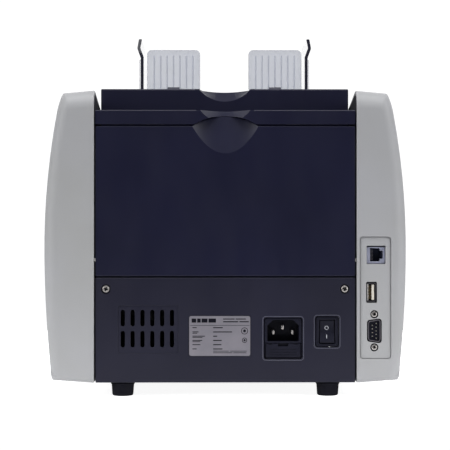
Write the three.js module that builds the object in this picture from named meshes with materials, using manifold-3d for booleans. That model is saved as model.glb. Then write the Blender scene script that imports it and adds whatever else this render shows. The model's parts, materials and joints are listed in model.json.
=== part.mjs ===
// Banknote counting machine: a desktop value counter with a top hopper, a C-shaped note path round
// its rear and a stacker pocket at its lower front. Millimetres, +Z up, the operator at -Y, the
// rear at +Y, origin on the table under the middle of the machine.
import * as THREE from "three";
import { mergeVertices } from "three/addons/utils/BufferGeometryUtils.js";
import Module from "manifold-3d";

const wasm = await Module();
wasm.setup();

// ---- driving dimensions -------------------------------------------------------------------------
const GAP = 0.3; // between neighbouring pieces
const HALF_DEPTH = 131; // rear and front faces of the side covers
const HALF_WIDTH = 137; // widest point of the side covers
const COVER_INNER = 98.9; // inner edge of a side cover
const BODY_HALF = 97.8; // everything between the side covers
const PANEL_Y = 130; // rear face of the panels and the door
const WALL = 2.5; // moulded wall thickness
const BASE_Z = 10.2; // underside of the machine
const BASE_T = 2;

const COVER = {
  widestZ: 111.4, // height of the barrel's widest point
  upperR: 560, // barrel radius above it
  lowerR: 893, // barrel radius below it
  rearTopZ: 233.7, // at the inner edge, before the corner is rounded
  outerTopZ: 231.2, // where the top meets the barrel
  rearTopR: 14,
  outerBottomZ: 12.4,
  bottomRise: 0.068, // slope of the underside outwards
  topFall: 0.092, // slope of the top outwards
  topSlope: Math.tan(THREE.MathUtils.degToRad(9.5)),
  topFrontY: -84,
  kneeZ: 108, // height where the sloped front becomes vertical
  edgeR: 13, // plan radius of the outer rear and front edges
  wall: 2.3,
};

const DOOR = {
  bottom: 90.4,
  top: 203.4,
  hingeY: 125.6,
  hingeZ: 102.6,
  pinR: 1.5,
  knuckleR: 3,
  knuckles: [-70, 0, 70],
  knuckleHalf: 8,
  ribs: [-84, -42, 0, 42, 84],
};
const DISH = { halfChord: 24.9, chordZ: 203.2, tabZ: 211, bottomZ: 182.9, depth: 7 };
const STRIP = { bottom: 204.8, top: 215.6, frontY: 85.5 };
const TAB_SCOOP = { aboveTop: 13.3, rearR: 23.2, frontY: 112 }; // in the strip's rear top edge
const LOWER = { bottom: 10.5, top: 89.4 };

const UNIT = {
  half: 97,
  rearY: 81,
  frontY: -56,
  topZ: 235.7,
  bottomZ: 194,
  gateY: 38, // hopper rear wall, front face
  floorRearZ: 198,
  floorFrontZ: 207,
  hingeY: -50,
  hingeZ: 192,
  pinR: 2,
  lugX: 80,
};

const SCOOP = { aboveTop: 15.9, rearR: 25.8, frontR: 16, deep: 13 }; // in the unit's rear top edge

const PLATE = {
  inner: 19.5,
  width: 43,
  top: 270.6,
  bottom: UNIT.topZ + GAP,
  y: 41.2,
  t: 2,
  r: 4,
  ribs: 7,
  ribPitch: 5.2,
};
const CLIP = { halfW: 4.75, y0: 39.4, y1: 46, top: 240.3 };
const GUIDE = {
  x: 66.7,
  t: 2.35,
  rear: UNIT.gateY - 0.4,
  length: 74,
  top: 280,
  flareZ: 264.5, // where it starts to lean outwards
  jogZ: 272.4, // where it leans back
  jog: 2.7,
  lean: 1.4,
  bottom: 209,
};
const RACK = {
  z: 223,
  pitchR: 5,
  teeth: 11,
  y0: 46,
  y1: 52,
  barHalf: 1.4,
  slotHalf: 4,
  inner: -26,
  outer: 18,
};

const SHAFT = {
  pickup: { y: 4, z: 189.5, r: 15 },
  feed: { y: 52, z: 174, r: 22 },
  drum: { y: 92, z: 158, r: 16 },
  lower: { y: 92, z: 124, r: 14 },
  stacker: { y: -16, z: 74, r: 34 },
  motor: { y: 60, z: 45, r: 18 },
};
const AXLE_R = 3;
const SHAFT_END = 103.2; // shafts stop inside the side covers
const PIN_END = 100.5; // hinge pins end in the side frames
const BELT = { x0: 106, x1: 111, t: 1.4, flange: 1 };
const PINCH_R = 6;
const PINCH = {
  y: SHAFT.drum.y + SHAFT.drum.r + 2 * GAP + PINCH_R,
  z: SHAFT.drum.z,
  r: PINCH_R,
  axle: 1.5,
  armX: 60,
};
const MOTOR = { x0: 42, x1: 96, boss: 8 };
const COLLARS = [-70, -35, 0, 35, 70]; // middles of the transport rollers
const WHEEL = { x0: 46, x1: 58, hubR: 14, bore: 9.3, vanes: 10 };
const SEPARATOR = { r: 8, half: 40, gap: 0.8 };

// The stacker pocket: the back plate's face, its top, and the front edge of the floor.
const POCKET = { backY: -34, topZ: 106, frontY: -127, frontZ: 37, lowZ: 27, wheelX: 52, slotHalf: 8 };
const NOTCH = { w: 56, h: 44, r: 12 };
const SENSOR = { half: 92, y0: 36, y1: 54, t: 13, gap: 1 };

const PANEL = { bottomY: -128.4, bottomZ: 118, topY: -88, topZ: 195.5, innerY: -42, t: WALL };
const KEY = { w: 15, h: 9, r: 2, proud: 1.6, below: 6 };
const DISPLAY = { w: 92, h: 54, y: 2, t: 2, moduleT: 5 };

const INLET = { x: -43.5, z: 43.6, w: 28.2, h: 30.4 };
const SOCKET = { w: 23.9, h: 16.4, z: 49.45, depth: 16 };
const DRAWER = { w: 26.6, z0: 29.2, z1: 39.9, depth: 18 };
// The inlet's pins: X from its middle, and Z.
const PINS = [
  [0.2, 51.7],
  [7.3, 48],
  [-7.3, 48],
];
const SWITCH = { x: -76.6, z: 48.6, w: 17.2, h: 22.6, rockerW: 10.9, rockerH: 16.9, angle: 8 };
const LABEL = { x0: -18.7, x1: 27.2, z0: 30.5, z1: 60.5, r: 1.5, t: 0.25 };
const VENT = { x: 77.2, pitch: 7.4, columns: 6, rows: [59, 43.1], w: 3.2, h: 12.45 };
const PORTS = { x0: -124.8, x1: -101.2, z0: 28.2, z1: 120.2, r: 2.5, deep: 1 };
const JACK = { x: -113.5, z: 106.5, w: 13.8, h: 13.4 };
const USB = { x: -110.1, z: 78.3, w: 5.7, h: 13.1 };
const SERIAL = { x: -112.2, z: 49.3, w: 9.7, h: 17.6, slant: 1.6, screw: 12.45, lobeR: 3.1, headR: 2.4 };
const FOOT = { x: 77.6, frontY: -112, rearY: 120.4, topR: 9, bottomR: 8, h: BASE_Z - GAP };
const SCREW = { x: 89.9, z: 80.8, headR: 2.6, recessR: 3.4 };

// ---- materials ----------------------------------------------------------------------------------
const paint = (color, roughness, metalness = 0) => () =>
  new THREE.MeshStandardMaterial({ color, roughness, metalness });
const navy = paint(0x21222f, 0.6);
const slate = paint(0x2a2b39, 0.6);
const grey = paint(0xaaabad, 0.6);
const black = paint(0x15151c, 0.55);
const rubber = paint(0x17171c, 0.85);
const steel = paint(0xb5b7bb, 0.35, 1);
const silverLabel = paint(0x8b8891, 0.5);
const clear = paint(0xb6bac6, 0.2);
const amber = paint(0x8c4a2b, 0.7);
const pale = paint(0xa9acc4, 0.45);
const glass = paint(0x0c0f16, 0.1);
const green = paint(0x1f4b34, 0.5);

// ---- solids from three.js shapes ----------------------------------------------------------------
const root = new THREE.Group();

// A geometry as a manifold-3d solid.
function solid(geometry) {
  const bare = geometry.clone();
  bare.deleteAttribute("normal");
  bare.deleteAttribute("uv");
  const merged = mergeVertices(bare, 1e-4);
  return new wasm.Manifold(
    new wasm.Mesh({
      numProp: 3,
      vertProperties: merged.attributes.position.array,
      triVerts: new Uint32Array(merged.index.array),
    }),
  );
}

// A named mesh of a solid, in the part's frame.
function add(name, body, material) {
  const made = body.getMesh();
  const geometry = new THREE.BufferGeometry();
  geometry.setAttribute("position", new THREE.BufferAttribute(made.vertProperties, 3));
  geometry.setIndex(new THREE.BufferAttribute(made.triVerts, 1));
  geometry.computeVertexNormals();
  const mesh = new THREE.Mesh(geometry, material());
  mesh.name = name;
  root.add(mesh);
}

const box = (x0, x1, y0, y1, z0, z1) =>
  new THREE.BoxGeometry(x1 - x0, y1 - y0, z1 - z0).translate(
    (x0 + x1) / 2,
    (y0 + y1) / 2,
    (z0 + z1) / 2,
  );
const block = (...sides) => solid(box(...sides));

// Extrusions of a shape: along X its axes are Y and Z, along Y they are X and Z.
const CYCLE = new THREE.Matrix4().set(0, 0, 1, 0, 1, 0, 0, 0, 0, 1, 0, 0, 0, 0, 0, 1);
function extrude(shape, depth, steps = 4) {
  return new THREE.ExtrudeGeometry(shape, { depth, bevelEnabled: false, curveSegments: steps });
}
const alongX = (shape, x0, x1, steps) =>
  solid(extrude(shape, x1 - x0, steps).applyMatrix4(CYCLE).translate(x0, 0, 0));
const alongY = (shape, y0, y1, steps) =>
  solid(extrude(shape, y1 - y0, steps).rotateX(Math.PI / 2).translate(0, y1, 0));
const alongZ = (shape, z0, z1, steps) =>
  solid(extrude(shape, z1 - z0, steps).translate(0, 0, z0));

// Cylinders and cones along X and along Y.
const rodX = (r, x0, x1, y, z, sides = 24) =>
  solid(
    new THREE.CylinderGeometry(r, r, x1 - x0, sides)
      .rotateZ(Math.PI / 2)
      .translate((x0 + x1) / 2, y, z),
  );
const rodY = (r, y0, y1, x, z, sides = 20, rearR = r) =>
  solid(
    new THREE.CylinderGeometry(rearR, r, y1 - y0, sides).translate(x, (y0 + y1) / 2, z),
  );

const polygon = (points) => new THREE.Shape(points.map(([a, b]) => new THREE.Vector2(a, b)));

// A rectangle round (a, b) with corner radius r.
function rounded(a, b, w, h, r) {
  const shape = new THREE.Shape();
  const [right, top] = [w / 2 - r, h / 2 - r];
  shape.absarc(a + right, b + top, r, 0, Math.PI / 2);
  shape.absarc(a - right, b + top, r, Math.PI / 2, Math.PI);
  shape.absarc(a - right, b - top, r, Math.PI, 1.5 * Math.PI);
  shape.absarc(a + right, b - top, r, 1.5 * Math.PI, 2 * Math.PI);
  return shape;
}

// A convex counter-clockwise outline with a radius at each corner, set in by `inset` all round.
function filleted(corners, inset = 0) {
  const points = corners.map(([a, b]) => new THREE.Vector2(a, b));
  const count = points.length;
  const sides = points.map((p, i) => {
    const way = points[(i + 1) % count].clone().sub(p).normalize();
    const inward = new THREE.Vector2(-way.y, way.x);
    return { from: p.clone().addScaledVector(inward, inset), way };
  });
  const cross = (u, v) => u.x * v.y - u.y * v.x;
  const shape = new THREE.Shape();
  corners.forEach(([, , radius = 0], i) => {
    const before = sides[(i + count - 1) % count];
    const after = sides[i];
    const along = cross(after.from.clone().sub(before.from), after.way);
    const corner = before.from
      .clone()
      .addScaledVector(before.way, along / cross(before.way, after.way));
    const r = Math.max(radius - inset, 0.5);
    const turn = Math.acos(THREE.MathUtils.clamp(before.way.dot(after.way), -1, 1));
    const back = r * Math.tan(turn / 2);
    const start = corner.clone().addScaledVector(before.way, -back);
    const centre = start.clone().add(new THREE.Vector2(-before.way.y, before.way.x).multiplyScalar(r));
    const from = Math.atan2(start.y - centre.y, start.x - centre.x);
    shape.absarc(centre.x, centre.y, r, from, from + turn);
  });
  return shape;
}

// The same piece on both sides of the machine: the side is -1 on the left and 1 on the right.
const SIDES = [
  ["left", -1],
  ["right", 1],
];
// Mirrors a range of X to the given side.
const range = (side, a, b) => (side > 0 ? [a, b] : [-b, -a]);

// ---- side covers and frames ---------------------------------------------------------------------
// The side outline, Y and Z with a corner radius, counter-clockwise.
function sideCorners() {
  const frontTopZ = COVER.rearTopZ - COVER.topSlope * (HALF_DEPTH - COVER.topFrontY);
  return [
    [-HALF_DEPTH, BASE_Z, 8],
    [HALF_DEPTH, BASE_Z, 5],
    [HALF_DEPTH, COVER.rearTopZ, COVER.rearTopR],
    [COVER.topFrontY, frontTopZ, 22],
    [-HALF_DEPTH, COVER.kneeZ, 60],
  ];
}

// The barrel outline, X and Z, of the right cover.
function barrel(inset) {
  const shape = new THREE.Shape();
  const { widestZ, upperR, lowerR, rearTopZ } = COVER;
  const low = Math.asin((widestZ - COVER.outerBottomZ - inset) / lowerR);
  const high = Math.asin((COVER.outerTopZ - inset - widestZ) / upperR);
  shape.absarc(HALF_WIDTH - lowerR, widestZ, lowerR - inset, -low, 0);
  shape.absarc(HALF_WIDTH - upperR, widestZ, upperR - inset, 0, high);
  shape.lineTo(COVER_INNER, rearTopZ - inset);
  shape.lineTo(COVER_INNER - 20, rearTopZ + 20 * COVER.topFall - inset);
  shape.lineTo(COVER_INNER - 20, BASE_Z - 20 * COVER.bottomRise + inset);
  return shape;
}

// The plan outline, X and Y, of the right cover.
function plan(inset) {
  const y = HALF_DEPTH;
  return filleted(
    [
      [COVER_INNER - 20, -y, 0],
      [HALF_WIDTH, -y, COVER.edgeR],
      [HALF_WIDTH, y, COVER.edgeR],
      [COVER_INNER - 20, y, 0],
    ],
    inset,
  );
}

function coverBulk(side, inset, innerX) {
  const slab = alongX(filleted(sideCorners(), inset), ...range(side, innerX, HALF_WIDTH + 1), 4);
  const flip = (shape) =>
    new THREE.Shape(shape.getPoints(5).map(({ x, y }) => new THREE.Vector2(side * x, y)));
  return slab
    .intersect(alongY(flip(barrel(inset)), -HALF_DEPTH - 1, HALF_DEPTH + 1))
    .intersect(alongZ(flip(plan(inset)), 0, 240));
}

// The D outline of the serial connector, grown by `grow`.
function serialOutline(grow) {
  const { x, z, w, h, slant } = SERIAL;
  const [a, b] = [w / 2 + grow, h / 2 + grow];
  return polygon([
    [x - a, z - b],
    [x + a, z - b + slant],
    [x + a, z + b - slant],
    [x - a, z + b],
  ]);
}

// Slots and sockets that open through the rear of the left cover.
function portHoles() {
  const { x0, x1, z0, z1, r, deep } = PORTS;
  const recess = rounded((x0 + x1) / 2, (z0 + z1) / 2, x1 - x0, z1 - z0, r);
  const inside = HALF_DEPTH - COVER.wall - 1;
  return alongY(recess, HALF_DEPTH - deep, HALF_DEPTH + 1)
    .add(alongY(rounded(JACK.x, JACK.z, JACK.w + 0.8, JACK.h + 0.8, 0.5), inside, HALF_DEPTH))
    .add(alongY(rounded(USB.x, USB.z, USB.w + 2.2, USB.h + 2.8, 0.8), inside, HALF_DEPTH))
    .add(alongY(serialOutline(0.7), inside, HALF_DEPTH))
    .add(rodY(SERIAL.lobeR, inside, HALF_DEPTH, SERIAL.x, SERIAL.z + SERIAL.screw))
    .add(rodY(SERIAL.lobeR, inside, HALF_DEPTH, SERIAL.x, SERIAL.z - SERIAL.screw));
}

function sideCover(name, side) {
  const shell = coverBulk(side, 0, COVER_INNER).subtract(
    coverBulk(side, COVER.wall, COVER_INNER - 1),
  );
  add(name, side < 0 ? shell.subtract(portHoles()) : shell, grey);
}

// A steel side frame inside each cover, bored for the shafts.
function sideFrame(name, side) {
  let frame = alongX(
    filleted(sideCorners(), COVER.wall + GAP),
    ...range(side, COVER_INNER, COVER_INNER + 2),
    3,
  );
  const { pickup, feed, drum, lower, stacker, motor } = SHAFT;
  const shafts = [pickup, feed, drum, lower, stacker, ...(side > 0 ? [motor] : [])];
  const holes = shafts.map(({ y, z }) => [AXLE_R, y, z]);
  holes.push([DOOR.pinR, DOOR.hingeY, DOOR.hingeZ], [UNIT.pinR, UNIT.hingeY, UNIT.hingeZ]);
  for (const [r, y, z] of holes)
    frame = frame.subtract(
      rodX(r + GAP, ...range(side, COVER_INNER - 1, COVER_INNER + 4), y, z, 12),
    );
  add(name, frame, slate);
}

// ---- rear panels --------------------------------------------------------------------------------
function lowerPanel() {
  const back = PANEL_Y - WALL;
  let panel = block(-BODY_HALF, BODY_HALF, back, PANEL_Y, LOWER.bottom, LOWER.top);
  for (const z of VENT.rows)
    for (let i = 0; i < VENT.columns; i++) {
      const slot = rounded(VENT.x - i * VENT.pitch, z, VENT.w, VENT.h, VENT.w / 2 - 0.01);
      panel = panel.subtract(alongY(slot, back - 1, PANEL_Y + 1, 2));
    }
  const inletHole = rounded(INLET.x, INLET.z, INLET.w + 0.8, INLET.h + 0.8, 1);
  const switchHole = rounded(SWITCH.x, SWITCH.z, SWITCH.w + 0.6, SWITCH.h + 0.6, 1);
  const label = rounded(
    (LABEL.x0 + LABEL.x1) / 2,
    (LABEL.z0 + LABEL.z1) / 2,
    LABEL.x1 - LABEL.x0 + 1,
    LABEL.z1 - LABEL.z0 + 1,
    LABEL.r,
  );
  panel = panel
    .subtract(alongY(inletHole, back - 1, PANEL_Y + 1, 2))
    .subtract(alongY(switchHole, back - 1, PANEL_Y + 1, 2))
    .subtract(alongY(label, PANEL_Y - LABEL.t - GAP, PANEL_Y + 1, 2));
  for (const [, side] of SIDES)
    panel = panel
      .subtract(rodY(SCREW.recessR, PANEL_Y - 1.4, PANEL_Y + 1, side * SCREW.x, SCREW.z, 16))
      .subtract(rodY(1.8, back - 1, PANEL_Y, side * SCREW.x, SCREW.z, 12));
  add("rear_lower_panel", panel, slate);
}

// A cross-headed screw whose head's outer face is at Y `rear`.
function crossScrew(x, z, rear, headR, headT, length) {
  const [reach, half, deep] = [1.5, 0.25, 0.6];
  const head = rodY(headR, rear - headT, rear, x, z, 20, headR - 0.4);
  const shank = rodY(1.5, rear - length, rear - headT + 0.1, x, z, 12);
  return head
    .add(shank)
    .subtract(block(x - reach, x + reach, rear - deep, rear + 1, z - half, z + half))
    .subtract(block(x - half, x + half, rear - deep, rear + 1, z - reach, z + reach));
}

// The deck behind the upper unit, with the finger scoop that the door's tab stands in.
function topStrip() {
  const outline = polygon([
    [STRIP.frontY, STRIP.top - WALL],
    [PANEL_Y - WALL, STRIP.top - WALL],
    [PANEL_Y - WALL, STRIP.bottom],
    [PANEL_Y, STRIP.bottom],
    [PANEL_Y, STRIP.top - 0.8],
    [PANEL_Y - 0.8, STRIP.top],
    [STRIP.frontY, STRIP.top],
  ]);
  const { aboveTop, rearR, frontY } = TAB_SCOOP;
  const scoopZ = STRIP.top + aboveTop;
  const rear = PANEL_Y - 0.05;
  const bowl = rodY(rearR + WALL, frontY - 1.5, rear, 0, scoopZ, 40).intersect(
    block(-30, 30, frontY - 1.5, rear, STRIP.bottom, STRIP.top),
  );
  const scoop = rodY(aboveTop, frontY, PANEL_Y + 1, 0, scoopZ, 40, rearR + 0.5);
  const tabRelief = alongY(dishOutline(-0.6), PANEL_Y - WALL - 2 * GAP, PANEL_Y + 1, 10);
  const strip = alongX(outline, -BODY_HALF, BODY_HALF).add(bowl).subtract(scoop);
  add("rear_top_strip", strip.subtract(tabRelief), navy);
}

// ---- rear door ----------------------------------------------------------------------------------
// The outline of the dish and its tab, X and Z, set in by `inset`.
function dishOutline(inset) {
  const { halfChord: a, chordZ, tabZ, bottomZ } = DISH;
  const sag = chordZ - bottomZ;
  const lowR = (a * a + sag * sag) / (2 * sag);
  const rise = tabZ - chordZ;
  const highR = (a * a + rise * rise) / (2 * rise);
  const high = Math.asin(a / highR);
  const low = Math.asin(a / lowR);
  const shape = new THREE.Shape();
  shape.absarc(0, tabZ - highR, highR - inset, Math.PI / 2 - high, Math.PI / 2 + high);
  shape.absarc(0, bottomZ + lowR, lowR - inset, 1.5 * Math.PI - low, 1.5 * Math.PI + low);
  return shape;
}

function rearDoor() {
  const back = PANEL_Y - WALL;
  const skin = block(-BODY_HALF, BODY_HALF, back, PANEL_Y, DOOR.bottom, DOOR.top);
  const grip = alongY(dishOutline(0), PANEL_Y - DISH.depth - 1.6, PANEL_Y, 10).subtract(
    block(-40, 40, 110, back - GAP, STRIP.bottom - 1.2, 240),
  );
  const { halfChord, depth, bottomZ, tabZ } = DISH;
  const sphereR = (halfChord * halfChord + depth * depth) / (2 * depth);
  const bowl = solid(
    new THREE.SphereGeometry(sphereR, 40, 24)
      .scale(0.93, 1, 0.56)
      .translate(0, PANEL_Y + sphereR - depth + 0.4, (bottomZ + tabZ) / 2 + 0.6),
  );
  let door = skin.add(grip).subtract(bowl);
  // Stiffening ribs across the inside, and the knuckles on the hinge pin.
  const { hingeY, hingeZ, knuckleR, ribs, knuckles, knuckleHalf: half } = DOOR;
  for (const x of ribs)
    door = door.add(block(x - 1.2, x + 1.2, back - 6, back + 1, DOOR.bottom + 8, bottomZ - 5));
  for (const x of knuckles)
    door = door
      .add(rodX(knuckleR, x - half, x + half, hingeY, hingeZ, 16))
      .add(block(x - half, x + half, hingeY, back + 1, hingeZ - 2, hingeZ + 2));
  const pinHole = rodX(DOOR.pinR + 0.05, -PIN_END, PIN_END, hingeY, hingeZ, 16);
  // Arms that carry the pinch roller shaft.
  const { y, z, armX, axle } = PINCH;
  for (const x of [-armX, armX])
    door = door.add(block(x - 2, x + 2, y - 4, back + 1, z - 5, z + 5));
  const axleHole = rodX(axle + GAP, -armX - 6, armX + 6, y, z, 12);
  add("rear_door", door.subtract(pinHole).subtract(axleHole), navy);
  add("door_hinge_pin", rodX(DOOR.pinR - 0.05, -PIN_END, PIN_END, hingeY, hingeZ, 16), steel);
}

// ---- shafts and rollers -------------------------------------------------------------------------
// A shaft turned with collars of the given radius over each [from, to] of X.
function turned({ y, z }, axleR, from, to, collars, sides = 16) {
  let shaft = rodX(axleR, from, to, y, z, 12);
  for (const [a, b, r] of collars) shaft = shaft.add(rodX(r, a, b, y, z, sides));
  return shaft;
}

// A roller: a ring of rubber with crowned edges round the shaft.
function tyre({ y, z, r }, a, b, bore = AXLE_R + GAP) {
  const crown = 0.8;
  const profile = [
    [bore, 0],
    [r - crown, 0],
    [r, crown],
    [r, b - a - crown],
    [r - crown, b - a],
    [bore, b - a],
    [bore, 0],
  ].map(([radius, h]) => new THREE.Vector2(radius, h));
  return solid(
    new THREE.LatheGeometry(profile, 20).rotateZ(-Math.PI / 2).translate(a, y, z),
  );
}

// A flanged belt pulley on the end of a shaft.
const PULLEY_GROOVE = 1.6;
function pulley({ y, z }, r) {
  const { x0, x1, flange } = BELT;
  const clear = 0.2;
  return rodX(r, x0 - flange - clear, x0 - clear, y, z, 16)
    .add(rodX(r - PULLEY_GROOVE, x0 - flange - clear, x1 + flange + clear, y, z, 16))
    .add(rodX(r, x1 + clear, x1 + flange + clear, y, z, 16));
}

// The shafts that the belt drives, each with its pulley's radius.
const PULLEYS = [
  [SHAFT.motor, 10],
  [SHAFT.lower, 11],
  [SHAFT.drum, 11],
  [SHAFT.feed, 13],
];

// The belt's outline round the pulleys, grown by `grow`: the hull of circles round their centres.
function beltOutline(grow) {
  const points = [];
  const steps = 16;
  for (const [{ y, z }, r] of PULLEYS)
    for (let i = 0; i < steps; i++) {
      const turn = (i * 2 * Math.PI) / steps;
      const reach = r - PULLEY_GROOVE + 2 * GAP + grow;
      points.push([y + reach * Math.cos(turn), z + reach * Math.sin(turn)]);
    }
  points.sort(([a, b], [c, d]) => a - c || b - d);
  const chain = (list) => {
    const kept = [];
    for (const p of list) {
      while (kept.length > 1) {
        const [q, o] = [kept[kept.length - 1], kept[kept.length - 2]];
        if ((q[0] - o[0]) * (p[1] - o[1]) - (q[1] - o[1]) * (p[0] - o[0]) > 1e-6) break;
        kept.pop();
      }
      kept.push(p);
    }
    return kept.slice(0, -1);
  };
  return polygon([...chain(points), ...chain(points.slice().reverse())]);
}

function drive() {
  const end = BELT.x1 + 2;
  const { feed, drum, lower, pickup, stacker, motor } = SHAFT;
  const feedShaft = turned(feed, AXLE_R, -SHAFT_END, end, [[-46, 46, 14]]);
  add("feed_shaft", feedShaft.add(pulley(feed, 13)), steel);
  for (const [name, side] of SIDES)
    add(`${name}_feed_roller`, tyre(feed, ...range(side, 16, 38), 14.3), amber);
  const pickupCollars = [[-26, -14, pickup.r], [-14, 14, 8], [14, 26, pickup.r]];
  add("pickup_roller_shaft", turned(pickup, AXLE_R, -SHAFT_END, SHAFT_END, pickupCollars), amber);
  const drumCollars = COLLARS.map((x) => [x - 9, x + 9, drum.r]);
  const drumShaft = turned(drum, AXLE_R, -SHAFT_END, end, drumCollars);
  add("drum_shaft", drumShaft.add(pulley(drum, 11)), black);
  const lowerCollars = COLLARS.map((x) => [x - 9, x + 9, lower.r]);
  const lowerShaft = turned(lower, AXLE_R, -SHAFT_END, end, lowerCollars);
  add("lower_transport_shaft", lowerShaft.add(pulley(lower, 11)), black);
  const pinchCollars = COLLARS.slice(1, -1).map((x) => [x - 7, x + 7, PINCH.r]);
  const pinchEnd = PINCH.armX + 4;
  add("door_pinch_shaft", turned(PINCH, PINCH.axle, -pinchEnd, pinchEnd, pinchCollars), steel);
  const hubs = [-POCKET.wheelX, POCKET.wheelX].map((x) => [x - 8, x + 8, WHEEL.bore - GAP]);
  add("stacker_shaft", turned(stacker, AXLE_R, -SHAFT_END, SHAFT_END, hubs, 20), steel);
  for (const [name, side] of SIDES) stackerWheel(`${name}_stacker_wheel`, side);
  const { x0, x1, boss } = MOTOR;
  const can = rodX(motor.r, x0, x1, motor.y, motor.z, 24).add(
    rodX(boss, x0 - 2, x0 + 0.5, motor.y, motor.z, 16),
  );
  add("drive_motor", can, slate);
  const stub = rodX(AXLE_R, x1 + GAP, end, motor.y, motor.z, 12);
  add("motor_shaft", stub.add(pulley(motor, 10)), steel);
  const belt = alongX(beltOutline(BELT.t), BELT.x0, BELT.x1).subtract(
    alongX(beltOutline(0), BELT.x0 - 1, BELT.x1 + 1),
  );
  add("drive_belt", belt, rubber);
}

// A stacker wheel: a hub with curved vanes that carry each note round into the pocket.
function stackerWheel(name, side) {
  const { y, z, r } = SHAFT.stacker;
  const { hubR, vanes, bore } = WHEEL;
  const [a, b] = range(side, WHEEL.x0, WHEEL.x1);
  let wheel = rodX(hubR, a, b, y, z, 20);
  for (let i = 0; i < vanes; i++) {
    const shape = new THREE.Shape();
    shape.moveTo(hubR - 2, -1.4);
    shape.quadraticCurveTo(hubR + 11, -1.6, r - 1, -11);
    shape.lineTo(r - 0.4, -9.9);
    shape.quadraticCurveTo(hubR + 12, 0.3, hubR - 2, 1.4);
    const vane = extrude(shape, b - a, 2)
      .rotateZ((i * 2 * Math.PI) / vanes)
      .applyMatrix4(CYCLE)
      .translate(a, y, z);
    wheel = wheel.add(solid(vane));
  }
  add(name, wheel.subtract(rodX(bore, a - 1, b + 1, y, z, 20)), black);
}

// ---- upper unit with the hopper -----------------------------------------------------------------
function floorZ(y) {
  const { gateY, frontY, floorRearZ, floorFrontZ } = UNIT;
  return floorRearZ + ((gateY - y) / (gateY - frontY)) * (floorFrontZ - floorRearZ);
}

function upperUnit() {
  const { half, rearY, frontY, topZ, bottomZ, gateY, hingeY, hingeZ } = UNIT;
  const { pickup } = SHAFT;
  const lip = floorZ(frontY);
  // Side cheeks of the unit: a plate on each side, stepped down in front of the hopper.
  const cheek = polygon([
    [frontY, lip - 5],
    [frontY + 8, bottomZ],
    [rearY, bottomZ],
    [rearY, topZ - 1],
    [rearY - 1, topZ],
    [gateY + 4, topZ],
    [frontY + 10, lip + 9],
    [frontY, lip],
  ]);
  const floor = polygon([
    [frontY, lip - WALL],
    [gateY - 3, floorZ(gateY - 3) - WALL],
    [gateY - 3, floorZ(gateY - 3)],
    [frontY, lip],
  ]);
  const top = polygon([
    [gateY, topZ - WALL],
    [rearY - WALL, topZ - WALL],
    [rearY - WALL, bottomZ],
    [rearY, bottomZ],
    [rearY, topZ - 1],
    [rearY - 1, topZ],
    [gateY, topZ],
  ]);
  let unit = alongX(cheek, -half, -half + WALL)
    .add(alongX(cheek, half - WALL, half))
    .add(alongX(floor, -half + 1, half - 1))
    .add(alongX(top, -half + 1, half - 1))
    .add(block(-half + 1, half - 1, gateY, gateY + WALL, bottomZ + 10, topZ - 1));
  // Cross slot for the guides' feet, roller slots in the floor, and the finger scoop at the rear.
  const { z: rackZ, slotHalf } = RACK;
  unit = unit.subtract(
    block(5 - half, half - 5, gateY - 1, gateY + WALL + 1, rackZ - slotHalf, rackZ + slotHalf),
  );
  for (const x of [-20, 20])
    unit = unit.subtract(
      block(x - 7.5, x + 7.5, pickup.y - 13, pickup.y + 13, bottomZ - 4, lip + 5),
    );
  const { aboveTop, rearR, frontR, deep } = SCOOP;
  const cup = rodY(rearR, rearY - deep - 2, rearY, 0, topZ + aboveTop, 32, rearR + 2).intersect(
    block(-30, 30, rearY - 20, rearY, topZ - 18, topZ - 0.1),
  );
  const scoop = rodY(frontR, rearY - deep, rearY + 1, 0, topZ + aboveTop, 32, rearR);
  unit = unit.add(cup).subtract(scoop);
  // A clip on the deck holds each hopper plate's foot.
  for (const side of [-1, 1]) {
    const x = side * (PLATE.inner + PLATE.width / 2);
    const clip = block(x - CLIP.halfW, x + CLIP.halfW, CLIP.y0, CLIP.y1, topZ - 1, CLIP.top);
    const slot = [PLATE.y - GAP, PLATE.y + PLATE.t + 0.5 + GAP];
    unit = unit.add(clip.subtract(block(x - 6, x + 6, ...slot, topZ, CLIP.top + 1)));
  }
  // Hinge lugs at the front, bored for the pin.
  for (const x of [-UNIT.lugX, UNIT.lugX])
    unit = unit.add(block(x - 6, x + 6, hingeY - 4, hingeY + 4, hingeZ - 4, floorZ(hingeY) - 1));
  unit = unit.subtract(rodX(UNIT.pinR + 0.05, -PIN_END, PIN_END, hingeY, hingeZ, 16));
  add("upper_unit", unit, black);
  const pin = rodX(UNIT.pinR - 0.05, -PIN_END, PIN_END, hingeY, hingeZ, 16);
  add("unit_hinge_pin", pin, steel);
}

// A clear plate behind the notes, with a slotted clip at its foot.
function hopperPlate(name, side) {
  const { inner, width, top, bottom, y, t, r, ribs, ribPitch } = PLATE;
  const x = side * (inner + width / 2);
  const ribZ = [bottom + 1, top - r - 0.5];
  let plate = alongY(rounded(x, (top + bottom) / 2, width, top - bottom, r), y, y + t);
  for (let i = 0; i < ribs; i++) {
    const ribX = x + (i - (ribs - 1) / 2) * ribPitch;
    plate = plate.add(block(ribX - 0.4, ribX + 0.4, y + t - 0.1, y + t + 0.5, ...ribZ));
  }
  add(name, plate, clear);
}

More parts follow.
